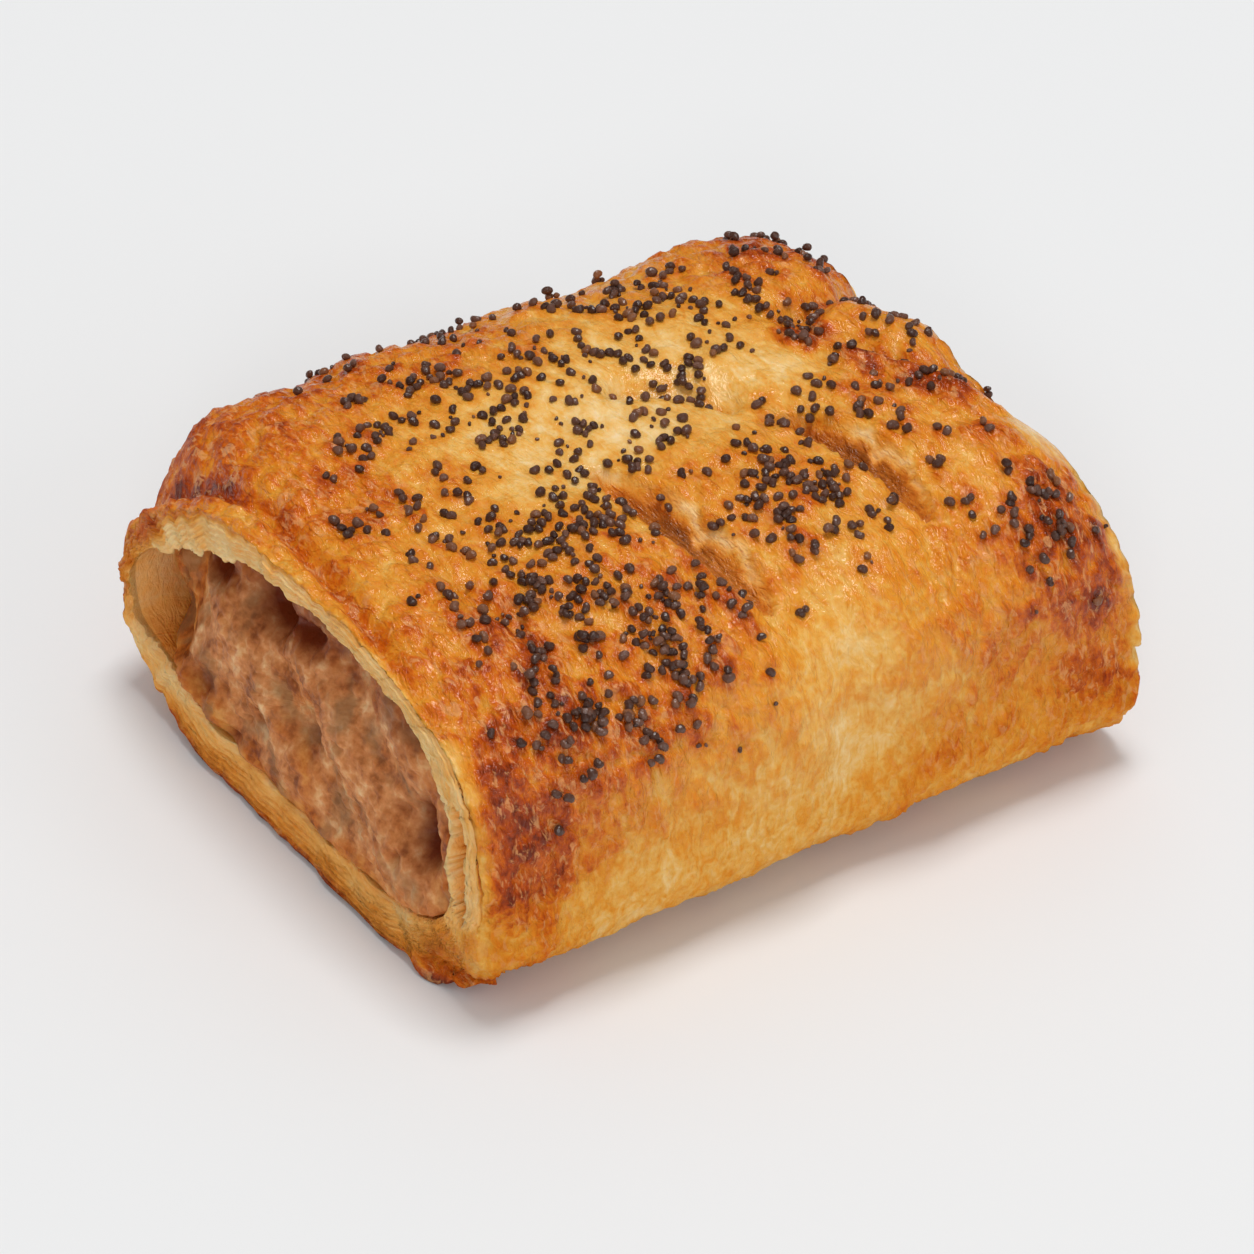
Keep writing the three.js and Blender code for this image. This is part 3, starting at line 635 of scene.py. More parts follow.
def section_angles(step):
    """Angles round the roll, spaced evenly along its section and wider along its flat base"""
    fine = np.linspace(0, 2 * np.pi, MEASURING_STEPS)
    section = smooth_roll(np.zeros_like(fine), fine)
    runs = np.linalg.norm(np.diff(section, axis=0), axis=1)
    runs = runs * np.where(section[1:, 2] > ON_BASE, 1, BASE_COARSENESS)
    run = np.concatenate([[0], np.cumsum(runs)])
    count = round(run[-1] / step)
    return np.interp(np.arange(count) * run[-1] / count, run, fine)


def make_object(name, bm, origin_shift=ROLL_MIDDLE):
    """A finished object at the origin, from a bmesh in millimetres about the roll's middle line"""
    bmesh.ops.translate(bm, verts=bm.verts, vec=Vector(origin_shift))
    bmesh.ops.scale(bm, verts=bm.verts, vec=(MM, MM, MM))
    mesh = bpy.data.meshes.new(name)
    bm.to_mesh(mesh)
    bm.free()
    mesh.polygons.foreach_set("use_smooth", [True] * len(mesh.polygons))
    made = bpy.data.objects.new(name, mesh)
    bpy.context.collection.objects.link(made)
    return made


def wrapped_sheet(points, values, close_rows):
    """A grid bent so that its corner (row, column) lies at points[row, column], closed round its
    columns and, if asked, round its rows. values holds a named number for each corner."""
    rows, columns = points.shape[:2]
    row_steps = rows if close_rows else rows - 1
    bm = bmesh.new()
    bmesh.ops.create_grid(bm, x_segments=columns, y_segments=row_steps, size=0.5)
    layers = {name: bm.verts.layers.float.new(name) for name in values}
    for vert in bm.verts:
        column = round((vert.co.x + 0.5) * columns) % columns
        row = round((vert.co.y + 0.5) * row_steps) % rows
        vert.co = points[row, column]
        for name, layer in layers.items():
            vert[layer] = values[name][row, column]
    bmesh.ops.remove_doubles(bm, verts=bm.verts, dist=CLOSEST_POINTS)
    return bm


def crust_rows():
    fine = np.linspace(LIP_ROUND - HALF_LENGTH, HALF_LENGTH - LIP_ROUND, MEASURING_STEPS)
    closeness = sum(hump(fine - at, reach) for at, reach in close_rows_at)
    run = np.cumsum(1 + SLASH_FINENESS * closeness) * (fine[1] - fine[0]) / ROW_STEP
    return np.interp(np.linspace(run[0], run[-1], round(run[-1])), run, fine)


angles = section_angles(COLUMN_STEP)
crust_x = crust_rows()
crust = crust_point(crust_x[:, None], angles[None, :])
lip_shares = (np.arange(LIP_ROWS) + 0.5) / LIP_ROWS
far_lip = np.stack([lip_point(1, share, angles) for share in lip_shares])
near_lip = np.stack([lip_point(-1, share, angles) for share in lip_shares[::-1]])
inner_x = np.array([HALF_LENGTH - d for d in inner_distances] + [0]
                   + [d - HALF_LENGTH for d in inner_distances[::-1]])
inside = inside_point(inner_x[:, None], angles[None, :])
inside_relief = (INSIDE_RELIEF * fractal(inside, *INSIDE_NOISE))[..., None]
inside = inside + outward(inner_x[:, None], angles[None, :]) * inside_relief
sheet_points = np.concatenate([crust, far_lip, inside, near_lip])

# What the oven and the knife did to each point: browning, with painted shade added in the crease
# and at the foot of the slashes, bare plies in a cut, wet glaze, and the grain of the plies: how
# far across them and how far along them it lies, in millimetres
CUTS_FROM = (20, 8)
RAISED_BROWNING = 0.28          # for each millimetre that a blister stands up
# painted shade in the crease behind the near lip
CREASE_SHADE = 0.20
CLOUD_BROWNING = 0.05
CLOUD_NOISE = (5, 3, 2.0)
FLAKE_BROWNING = 0.34
FLAKE_BROWN_TOP = (2.4, 1.2)
FOOT_BROWN_AND_SHADE = 0.89               # browning and painted shade at the back of a slash, and at its front end
FOOT_BROWN_AND_SHADE_IN_FRONT = 0.74
FOOT_FRONT = (14, 8)
FOOT_SHARE = 0.9
STRANDS_BROWN = 0.10
MOUTH_BROWN = 0.24              # the crust is paler where it turns over into the cut, this far in:
MOUTH_PALE = (0.4, 2.6)
MOUTH_SHARE = 0.85
MOUTH_RAG = 1.6
MOUTH_NOISE = (4.5, 3, 12.0)
MOUTH_SIDE = (-0.25, 1)
LOW_CORNER_SIDE = (20, 10)      # but the low corner in front stays browner
LOW_CORNER_TOP = (7, 6)
LOW_CORNER_SHARE = 0.8
GLAZE_FROM = (8, 20)
GLAZE_LOST_IN_CUT = 0.7
GLAZE_LOST_AT_MOUTH = 0.6
GLAZE_MISSED = 0.7              # towards the back of the near end, from here:
MISSED_SIDE = (18, 8)
MISSED_END = (24, 8)
crust_y, crust_z = crust[..., 1], crust[..., 2]
cut_shapes = [slash_shape(slash, crust[..., 0], crust_y) for slash in slashes]
high = past(crust_z, *CUTS_FROM)
in_cut = np.clip(sum(shape[1] for shape in cut_shapes), 0, 1) * high
cut_foot_brown_and_shade = np.clip(sum(shape[2] for shape in cut_shapes), 0, 1) * high
ragged_mouth = HALF_LENGTH - np.abs(crust[..., 0]) + MOUTH_RAG * fractal(crust, *MOUTH_NOISE)
turned_over = past(-np.cos(angles), *MOUTH_SIDE) * (1 - past(ragged_mouth, *MOUTH_PALE))
stays_brown = past(-crust_y, *LOW_CORNER_SIDE) * (1 - past(crust_z, *LOW_CORNER_TOP))
turned_over = turned_over * (1 - LOW_CORNER_SHARE * stays_brown)
unbaked = smooth_roll(crust_x[:, None], angles[None, :])
blistered = crust_relief(crust_x[:, None], angles[None, :], unbaked)[1]
at_flake = at_corner(crust[..., 0], crust_y) * (1 - past(crust_z, *FLAKE_BROWN_TOP))
# browning, with painted shade added in the crease behind the near lip
crust_brown_and_shade = browning_of(crust) + CLOUD_BROWNING * fractal(crust, *CLOUD_NOISE) \
    + RAISED_BROWNING * blistered + CREASE_SHADE * crease_at(crust[..., 0], angles[None, :]) \
    + FLAKE_BROWNING * at_flake
foot_brown_and_shade = blend(FOOT_BROWN_AND_SHADE, FOOT_BROWN_AND_SHADE_IN_FRONT, past(-crust_y, *FOOT_FRONT))
crust_brown_and_shade = blend(crust_brown_and_shade, MOUTH_BROWN, MOUTH_SHARE * turned_over)
# painted shade, with some browning, along the foot of each torn slash
crust_brown_and_shade = blend(crust_brown_and_shade, foot_brown_and_shade, FOOT_SHARE * cut_foot_brown_and_shade)
crust_brown_and_shade = blend(crust_brown_and_shade, STRANDS_BROWN, in_cut)
missed = past(crust_y, *MISSED_SIDE) * past(-crust[..., 0], *MISSED_END)
crust_glaze = past(crust_z, *GLAZE_FROM) * (1 - GLAZE_LOST_IN_CUT * in_cut) \
    * (1 - GLAZE_LOST_AT_MOUTH * turned_over) * (1 - GLAZE_MISSED * missed)

# The cut edge and the inside. The browned skin lies over the edge, and further over it at the
# collar, the near corner and the base; then come the bare plies, browner in some places and
# darker with painted shade where they lie deeper in from the cut.
SLASH_RUN = 26                  # length of a torn slash
LIP_RUN = 30                    # length of the lip for each radian
LIP_SKIN = 0.35
LIP_SKIN_BROWN = 1.5            # times as thick where the crust is brown
LIP_SKIN_UNEVEN = 1.1
LIP_SKIN_NOISE = (4, 3, 6.0)
COLLAR_SKIN = 2.6
COLLAR_SKIN_ANGLE = 0.45
COLLAR_SKIN_REACH = 0.4
COLLAR_SKIN_UNEVEN = 0.5
CORNER_SKIN = 6.0
CORNER_SKIN_TOP = (6, 6)
BASE_SKIN = 1.0
BASE_SKIN_TOP = (1, 4)
BASE_SKIN_UNEVEN = 0.8
FOLDED_SKIN_NOISE = (3, 2, 7.0)
SKIN_EDGE = 0.3                 # share of the skin after which it fades
THINNEST_SKIN = 0.15
SKIN_COVERS = 0.9
SKIN_BROWN_AT_BASE = 0.12
SKIN_BROWN_AT_RIM = 0.30
RIM_HEIGHT = 1.6
PLY_BROWN = 0.12
PLY_BROWN_AT_FOOT = 0.40
PLY_FOOT_TOP = (1, 5)
PLY_BROWN_BY_SKIN = 0.12
BY_SKIN = 1.6
PLY_SHADE_DEEP_IN = 0.50
DEEP_IN_FROM = (1.5, 1.5)
PLY_BROWN_AT_CORNER = 0.50
LIP_CLOUDS = 0.14
LIP_CLOUD_NOISE = (3.5, 3, 8.0)
LIP_GLAZE = 0.4
INSIDE_BROWN = 0.20
INSIDE_BROWN_AT_BASE = 0.50
INSIDE_BASE_TOP = (4, 7)
INSIDE_CLOUDS = 0.08
INSIDE_CLOUD_NOISE = (4, 2, 8.0)
INSIDE_GRAIN = (0.3, 0.5)


def cut_grain(points):
    """Across and along the nearer of the two torn slashes"""
    x, y = points[..., 0], points[..., 1]
    places = [slash_place(slash, x, y) for slash in slashes if slash.get("torn")]
    nearer = np.abs(places[0][1]) < np.abs(places[1][1])
    along, beside = (np.where(nearer, places[0][i], places[1][i]) for i in range(2))
    return beside, along * SLASH_RUN


def lip_looks(points, shares):
    """Browning with painted shade deeper in from the cut, bareness and grain of a cut edge, whose
    rows lie at the given shares across it
    """
    x, y, z = points[..., 0], points[..., 1], points[..., 2]
    across = shares[:, None] * np.linalg.norm(points[-1] - points[0], axis=-1)
    corner = past(-y, *LOW_CORNER_SIDE) * (1 - past(z, *CORNER_SKIN_TOP))
    base = 1 - past(z, *BASE_SKIN_TOP)
    uneven = fractal(points, *FOLDED_SKIN_NOISE)
    skin = LIP_SKIN * (1 + LIP_SKIN_UNEVEN * fractal(points, *LIP_SKIN_NOISE))
    skin = skin * (LIP_SKIN_BROWN - turned_over[:1])
    at_collar = hump(angles - COLLAR_SKIN_ANGLE, COLLAR_SKIN_REACH)
    skin = skin + COLLAR_SKIN * at_collar * (1 + COLLAR_SKIN_UNEVEN * uneven)
    skin = skin + (CORNER_SKIN * corner + BASE_SKIN * base) * (1 + BASE_SKIN_UNEVEN * uneven)
    browned = 1 - past(across, SKIN_EDGE * skin, np.maximum(skin, THINNEST_SKIN))
    # plies lying deeper in from the cut, as in the gap between parted plies, get painted shade
    plies = PLY_BROWN + PLY_BROWN_AT_FOOT * (1 - past(z, *PLY_FOOT_TOP)) \
        + PLY_BROWN_BY_SKIN * hump(across, BY_SKIN) \
        + PLY_SHADE_DEEP_IN * past(HALF_LENGTH - np.abs(x), *DEEP_IN_FROM) + PLY_BROWN_AT_CORNER * corner
    skin_brown = browning_of(points) + SKIN_BROWN_AT_BASE * base \
        + SKIN_BROWN_AT_RIM * (1 - smooth(z / RIM_HEIGHT))
    brown = blend(plies, skin_brown, browned) + LIP_CLOUDS * fractal(points, *LIP_CLOUD_NOISE)
    return brown, 1 - SKIN_COVERS * browned, (across, np.broadcast_to(angles * LIP_RUN, across.shape))


far_brown_and_shade, far_bare, far_grain = lip_looks(far_lip, lip_shares)
near_brown_and_shade, near_bare, near_grain = lip_looks(near_lip[::-1], lip_shares)
near_brown_and_shade, near_bare = near_brown_and_shade[::-1], near_bare[::-1]
near_grain = [part[::-1] for part in near_grain]
inside_brown = INSIDE_BROWN + INSIDE_BROWN_AT_BASE * (1 - past(inside[..., 2], *INSIDE_BASE_TOP)) \
    + INSIDE_CLOUDS * fractal(inside, *INSIDE_CLOUD_NOISE)
inside_grain = inside[..., 1] * INSIDE_GRAIN[0], inside[..., 2] * INSIDE_GRAIN[1]
everywhere = np.ones(inside.shape[:2])
far_glaze, near_glaze = (LIP_GLAZE * (1 - lip_bare) for lip_bare in (far_bare, near_bare))
grains = [cut_grain(crust), far_grain, inside_grain, near_grain]
sheet_values = {
    "browning_and_shade": [crust_brown_and_shade, far_brown_and_shade, inside_brown, near_brown_and_shade],
    "bare": [np.maximum(in_cut, cut_foot_brown_and_shade), far_bare, everywhere, near_bare],
    "glaze": [crust_glaze, far_glaze, 0 * everywhere, near_glaze],
    "grain_across": [grain[0] for grain in grains],
    "grain_along": [grain[1] for grain in grains],
}
sheet_values = {name: np.concatenate(parts) for name, parts in sheet_values.items()}
pastry_mesh = wrapped_sheet(sheet_points, sheet_values, close_rows=True)
bmesh.ops.recalc_face_normals(pastry_mesh, faces=pastry_mesh.faces)
pastry = make_object("puff_pastry", pastry_mesh)


def new_material(name):
    made = bpy.data.materials.new(name)
    made.use_nodes = True
    return made, made.node_tree, made.node_tree.nodes["Principled BSDF"]


def fill_inputs(tree, made, inputs):
    """Sets a shader node's inputs, each to a value or to another node's output"""
    for name, value in inputs.items():
        socket = made.inputs[int(name[1:])] if name[1:].isdigit() else made.inputs[name.replace("_", " ")]
        if isinstance(value, bpy.types.NodeSocket):
            tree.links.new(value, socket)
        else:
            socket.default_value = value


def add_node(tree, kind, settings=None, **inputs):
    made = tree.nodes.new(kind)
    for name, value in (settings or {}).items():
        setattr(made, name, value)
    fill_inputs(tree, made, inputs)
    return made


def measured(tree, name):
    """The number that each corner of the mesh carries under this name"""
    return add_node(tree, "ShaderNodeAttribute", {"attribute_name": name}).outputs["Fac"]


def colour(red, green, blue):
    """A colour as seen on a screen, 0 to 255, as the shader's linear light"""
    shares = [channel / 255 for channel in (red, green, blue)]
    return (*[((s + 0.055) / 1.055) ** 2.4 if s > 0.04045 else s / 12.92 for s in shares], 1)


def ramp(tree, value, stops):
    made = add_node(tree, "ShaderNodeValToRGB", Fac=value)
    elements = made.color_ramp.elements
    while len(elements) < len(stops):
        elements.new(0.5)
    for element, (place, shade) in zip(elements, stops):
        element.position = place
        element.color = shade
    return made.outputs["Color"]


def plus(tree, first, second, clamp=False):
    settings = {"operation": "ADD", "use_clamp": clamp}
    return add_node(tree, "ShaderNodeMath", settings, _0=first, _1=second).outputs["Value"]


def times(tree, first, second, clamp=False):
    settings = {"operation": "MULTIPLY", "use_clamp": clamp}
    return add_node(tree, "ShaderNodeMath", settings, _0=first, _1=second).outputs["Value"]


def mix_colours(tree, share, first, second):
    settings = {"data_type": "RGBA"}
    return add_node(tree, "ShaderNodeMix", settings, _0=share, _6=first, _7=second).outputs[2]


def weighted(tree, *parts):
    """The sum of noises, each centred on zero and multiplied by its weight"""
    centred = [times(tree, plus(tree, value, -0.5), weight) for value, weight in parts]
    total = centred[0]
    for part in centred[1:]:
        total = plus(tree, total, part)
    return total


def turned_on(tree, value, start, end, full=1.0):
    """A grey that runs from black to the full share between two values"""
    return ramp(tree, value, [(start, (0, 0, 0, 1)), (end, (full, full, full, 1))])


def bumps(tree, height, strength, distance, under=None):
    """The surface with bumps as high as the distance in millimetres, on top of any under it"""
    more = {"Normal": under} if under else {}
    made = add_node(tree, "ShaderNodeBump", Strength=strength, Distance=distance * MM, Height=height, **more)
    return made.outputs["Normal"]


def speckle(tree, place, size, detail=3.0, roughness=0.6, distortion=0.0):
    made = add_node(tree, "ShaderNodeTexNoise", Vector=place, Scale=1 / (size * MM), Detail=detail,
                    Roughness=roughness, Distortion=distortion)
    return made.outputs["Fac"]


crust_stops = [
    (0.00, colour(244, 214, 166)),
    (0.16, colour(240, 200, 132)),
    (0.32, colour(234, 176, 84)),
    (0.46, colour(228, 150, 46)),
    (0.60, colour(222, 130, 28)),
    (0.72, colour(208, 100, 12)),
    (0.86, colour(172, 66, 6)),
    (1.00, colour(116, 38, 4)),
]
bare_stops = [
    (0.00, colour(255, 218, 156)),
    (0.28, colour(252, 184, 98)),
    (0.52, colour(232, 146, 54)),
    (0.78, colour(176, 98, 30)),
    (1.00, colour(100, 46, 12)),
]
CLOUDS = 0.34                   # how far each kind of mottling moves the browning up or down
STREAKS = 0.64
SPOTS = 0.24
HALO = 0.12
CLOUD_GRAIN = (5.0, 3.0, 0.6, 0.5)      # size, detail, roughness and distortion of each
STREAK_GRAIN = (1.5, 3.0, 0.65, 1.0)
SPOT_GRAIN = (0.6, 2.0, 0.5)
STREAK_STRETCH = (1.0, 0.42, 0.5)
BROWNED_FROM = 0.25             # browning at which thin skins with painted glints and crinkles begin, and how fast
BROWNED_SLOPE = 2.2
SKIN_AND_GLINT_SHARE = 0.60               # thin skins over the smallest blisters, paler than the rest, partly painted glints
SKIN_AND_GLINT_COLOUR = colour(232, 166, 104)
SKIN_AND_GLINT_GRAIN = (0.8, 3.0, 0.6, 0.8)
SKIN_AND_GLINT_FROM = (0.54, 0.64)
GRAIN_FINENESS = 0.28           # thickness of a strand or a ply, and its length
GRAIN_LENGTH = 4.0
PLY_WEIGHTS = (0.5, 0.3, 0.2)   # of grain, clouds and spots in the bare plies
DRY_ROUGHNESS = 0.60
WET_SHINE = 0.20
UNEVEN_SHINE = 0.4
CRINKLES_WHERE_PALE = 0.25
CRINKLE_GRAIN = (0.9, 3.0, 0.6, 0.8)
CRINKLE_BUMPS = (1.0, 0.8)      # strength, and height in millimetres
FINE_GRAIN = (0.35, 2.0, 0.5)
FINE_BUMPS = (0.5, 0.16)
PLY_BUMPS = (0.8, 0.35)
GLAZE_COAT = 0.7


def crust_material():
    made, tree, shader = new_material("baked_puff_pastry")
    place = add_node(tree, "ShaderNodeTexCoord").outputs["Object"]
    # the browning attribute, which also holds painted shade in the crease and at the slashes' feet
    baked = measured(tree, "browning_and_shade")
    bare_ply = measured(tree, "bare")
    wet = measured(tree, "glaze")
    along_roll = add_node(tree, "ShaderNodeMapping", Vector=place, Scale=STREAK_STRETCH).outputs["Vector"]

    # mottling: broad clouds, streaks round the roll and fine spots
    clouds = speckle(tree, place, *CLOUD_GRAIN)
    streaks = speckle(tree, along_roll, *STREAK_GRAIN)
    spots = speckle(tree, place, *SPOT_GRAIN)
    mottling = weighted(tree, (clouds, CLOUDS), (streaks, STREAKS), (spots, SPOTS))
    level = plus(tree, plus(tree, baked, mottling), times(tree, measured(tree, "seed_halo"), HALO))
    browned = times(tree, plus(tree, baked, -BROWNED_FROM), BROWNED_SLOPE, clamp=True)
    # pale skins on the browned blisters, which also stand in for painted glints
    skins_and_glints = turned_on(tree, speckle(tree, along_roll, *SKIN_AND_GLINT_GRAIN), *SKIN_AND_GLINT_FROM)
    skins_and_glints = times(tree, times(tree, skins_and_glints, browned), SKIN_AND_GLINT_SHARE)
    crust_colour = mix_colours(tree, skins_and_glints, ramp(tree, level, crust_stops), SKIN_AND_GLINT_COLOUR)

    # the grain of bare plies
    grain_place = add_node(tree, "ShaderNodeCombineXYZ",
                           _0=times(tree, measured(tree, "grain_across"), 1 / GRAIN_FINENESS),
                           _1=times(tree, measured(tree, "grain_along"), 1 / GRAIN_LENGTH)).outputs["Vector"]
    grain = speckle(tree, grain_place, 1 / MM, distortion=0.6)
    ply_level = plus(tree, baked, weighted(tree, *zip((grain, clouds, spots), PLY_WEIGHTS)))
    base = mix_colours(tree, bare_ply, crust_colour, ramp(tree, ply_level, bare_stops))

    shine = plus(tree, times(tree, wet, -WET_SHINE), DRY_ROUGHNESS)
    crinkled = plus(tree, times(tree, browned, 1 - CRINKLES_WHERE_PALE), CRINKLES_WHERE_PALE)
    crinkles = times(tree, speckle(tree, along_roll, *CRINKLE_GRAIN), crinkled)
    coarse = bumps(tree, crinkles, *CRINKLE_BUMPS)
    fine = bumps(tree, speckle(tree, place, *FINE_GRAIN), *FINE_BUMPS, coarse)
    combed = bumps(tree, times(tree, grain, bare_ply), *PLY_BUMPS, fine)
    fill_inputs(tree, shader, {
        "Base_Color": base, "Roughness": plus(tree, shine, weighted(tree, (streaks, UNEVEN_SHINE))),
        "Normal": combed, "Coat_Normal": combed, "Coat_Weight": times(tree, wet, GLAZE_COAT),
        "Coat_Roughness": 0.14, "Specular_IOR_Level": 0.08, "Subsurface_Weight": 0.15,
        "Subsurface_Radius": (1.0, 0.5, 0.2), "Subsurface_Scale": 1.2 * MM,
    })
    return made


pastry.data.materials.append(crust_material())
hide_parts("pastry")
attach(pastry, "root")

# ---------------------------------------------------------------------------------------------
# The filling: coarse seasoned sausage meat, rolled into the pastry raw. It shrank a little in
# the oven, so it lies behind the cut ends and left pockets under the crown.
# ---------------------------------------------------------------------------------------------
MEAT_GAP = 0.3
RECESS_AT_BASE = 0.7
RECESS_AT_CROWN = 4.2
LEAST_RECESS = 0.25
MEAT_SHRINKAGE = 5.0            # how far it has drawn back from the cut along the back wall
SHRUNK_FROM = (17, 12)
SHRUNK_ABOVE = (6.5, 3.5)
UNDER_CROWN = (20.5, 5)         # up here it has sunk in more, and is coloured darker with painted shade
CROWN_RECESS = 0.8
CROWN_SHADE = 0.9
MEAT_LUMP = 0.5                 # slow lumps, as radians of wave for each mm across and up
meat_waves = [(0.33, 0), (0, 0.41), (-0.3, 0.5)]
MEAT_WAVE_START = 1.1
MEAT_LUMP_HEIGHT = 8
COARSE_MINCE = 0.4              # grains of the mince, from coarse to fine
COARSE_NOISE = (4.0, 3, 4.0)
ROUND_MINCE = 0.25
ROUND_MINCE_SIZE = 3.2
SMALL_MINCE = 0.32
SMALL_MINCE_SIZE = 1.6
FINE_MINCE = 0.22
FINE_NOISE = (1.0, 2, 9.0)
MINCE_MEAN = 0.7
FACE_DISTANCE = 9.0             # between the two ends' patterns, so that they differ
HEART_HEIGHT = 0.45 * HEIGHT
MEAT_RINGS = 70
RING_CROWDING = 0.9             # below 1, the rings lie closer towards the edge
MEAT_RIM = (0.72, 0.26)         # share of the way out at which the roasted rim starts
MEAT_COLUMN_STEP = 0.5
MEAT_SIDE_INSET = 9.2           # the side between the two faces, and how many rows it has
MEAT_SIDE_ROWS = 9

# Hollows in the cut face: the pockets under the crown, the hole beside the front wall and dents:
# where across and up it, how broad, how deep
pockets = [
    ((27.8, 20.4), (2.4, 1.8), 2.6), ((19.1, 21.8), (3.2, 1.8), 3.4), ((7.6, 22.8), (3.4, 2.2), 4.5),
    ((0.9, 23.9), (2.6, 1.2), 2.6), ((-23.5, 15.0), (2.2, 3.2), 4.5), ((18.1, 8.5), (2.2, 1.8), 1.5),
    ((-1.3, 13.3), (2.4, 1.6), 0.9), ((6.9, 10.2), (1.6, 1.1), 1.3), ((-19.7, 10.1), (0.7, 0.7), 1.4),
    ((-18.5, 14.9), (1.2, 0.8), 0.9), ((10.0, 8.3), (0.35, 0.35), 1.4), ((12.0, 5.4), (1.3, 0.8), 1.5),
    ((29.4, 13.8), (0.6, 0.5), 2.6), ((29.4, 11.0), (0.4, 0.7), 2.2),
]


def meat_recess(y, z, end):
    """How far the meat lies behind the cut, and how much painted shade it gets from its pocket's depth and
    from lying under the crown
    """
    spot = np.stack([np.full_like(y, FACE_DISTANCE * end), y, z], axis=-1)
    first, second, third = (across * y + up * z for across, up in meat_waves)
    lumps = np.sin(first + MEAT_WAVE_START) * np.cos(second) + np.sin(third)
    mince = COARSE_MINCE * fractal(spot, *COARSE_NOISE) \
        - ROUND_MINCE * (pillows(spot, ROUND_MINCE_SIZE, seed=2.2) - MINCE_MEAN) \
        - SMALL_MINCE * (pillows(spot, SMALL_MINCE_SIZE, seed=6.2) - MINCE_MEAN) \
        + FINE_MINCE * fractal(spot, *FINE_NOISE)
    hollows = sum(depth * patch(y, z, middle, reach) for middle, reach, depth in pockets)
    recess = blend(RECESS_AT_BASE, RECESS_AT_CROWN, smooth(z / HEIGHT))
    shrunk = MEAT_SHRINKAGE * past(y, *SHRUNK_FROM) * past(z, *SHRUNK_ABOVE)
    surface = recess + MEAT_LUMP * lumps * smooth(z / MEAT_LUMP_HEIGHT) + mince + hollows + shrunk
    under_crown = past(z, *UNDER_CROWN)
    surface = np.maximum(surface + CROWN_RECESS * under_crown, LEAST_RECESS)
    # the second value is painted shade: the pocket's depth, and a band under the crown
    return surface, hollows + CROWN_SHADE * under_crown


meat_angles = section_angles(MEAT_COLUMN_STEP)
heart = np.array([0, 0, HEART_HEIGHT])


def meat_end(end, size):
    inset = np.maximum(1, mouth_wall(meat_angles))
    ring = smooth_roll(end * (HALF_LENGTH - RECESS_AT_BASE), meat_angles, inset, MEAT_GAP)
    ring = blend(heart, ring, size)
    recess, pocket_shade = meat_recess(ring[..., 1], ring[..., 2], end)
    ring[..., 0] = end * (HALF_LENGTH - recess)
    rim = np.full(pocket_shade.shape, past(size, *MEAT_RIM))
    return ring, pocket_shade, rim


ring_sizes = np.linspace(0, 1, MEAT_RINGS) ** RING_CROWDING
near_end = [meat_end(-1, size) for size in ring_sizes]
far_end = [meat_end(1, size) for size in ring_sizes[::-1]]
side_end = HALF_LENGTH - MEAT_SIDE_INSET
meat_x = np.linspace(-side_end, side_end, MEAT_SIDE_ROWS)
meat_side = smooth_roll(meat_x[:, None], meat_angles[None, :], 1, MEAT_GAP)
side_values = np.zeros(meat_side.shape[:2])
meat_points, meat_pocket_shade, meat_rim = (
    np.concatenate([[ring[i] for ring in near_end], side, [ring[i] for ring in far_end]])
    for i, side in enumerate([meat_side, side_values, side_values]))
meat_mesh = wrapped_sheet(meat_points, {"pocket_shade": meat_pocket_shade, "rim": meat_rim}, close_rows=False)
bmesh.ops.recalc_face_normals(meat_mesh, faces=meat_mesh.faces)
filling = make_object("sausage_meat", meat_mesh)


MEAT_CLOUDS = (7.0, 2.0, 0.5, 0.4)      # size, detail, roughness and distortion of each mottling
MINCE_GRAIN = (2.6, 3.0, 0.5)
MEAT_GRAIN = (0.7, 3.0, 0.6)
FAT_GRAIN = (4.5, 2.0, 0.5)
FAT_SHIFT = (0.013, 0.004, 0.021)
FAT_FROM = (0.52, 0.66, 0.6)
FAT_COLOUR = colour(156, 118, 78)
POCKET_SHADE_COLOUR = colour(112, 42, 12)
POCKET_SHADE_SHARE = 0.46             # painted shade for each millimetre of depth
GRAIN_TONE = 0.40
ROAST_PATCHES = 3.2
MINCE_BUMPS = (0.6, 0.3)
MEAT_FINE_BUMPS = (0.7, 0.14)
lean_stops = [
    (0.28, colour(148, 82, 40)), (0.44, colour(200, 124, 68)),
    (0.58, colour(224, 152, 94)), (0.74, colour(246, 200, 146)),
]
roasted_stops = [
    (0.30, colour(138, 64, 18)), (0.48, colour(198, 108, 38)), (0.72, colour(230, 154, 70)),
]


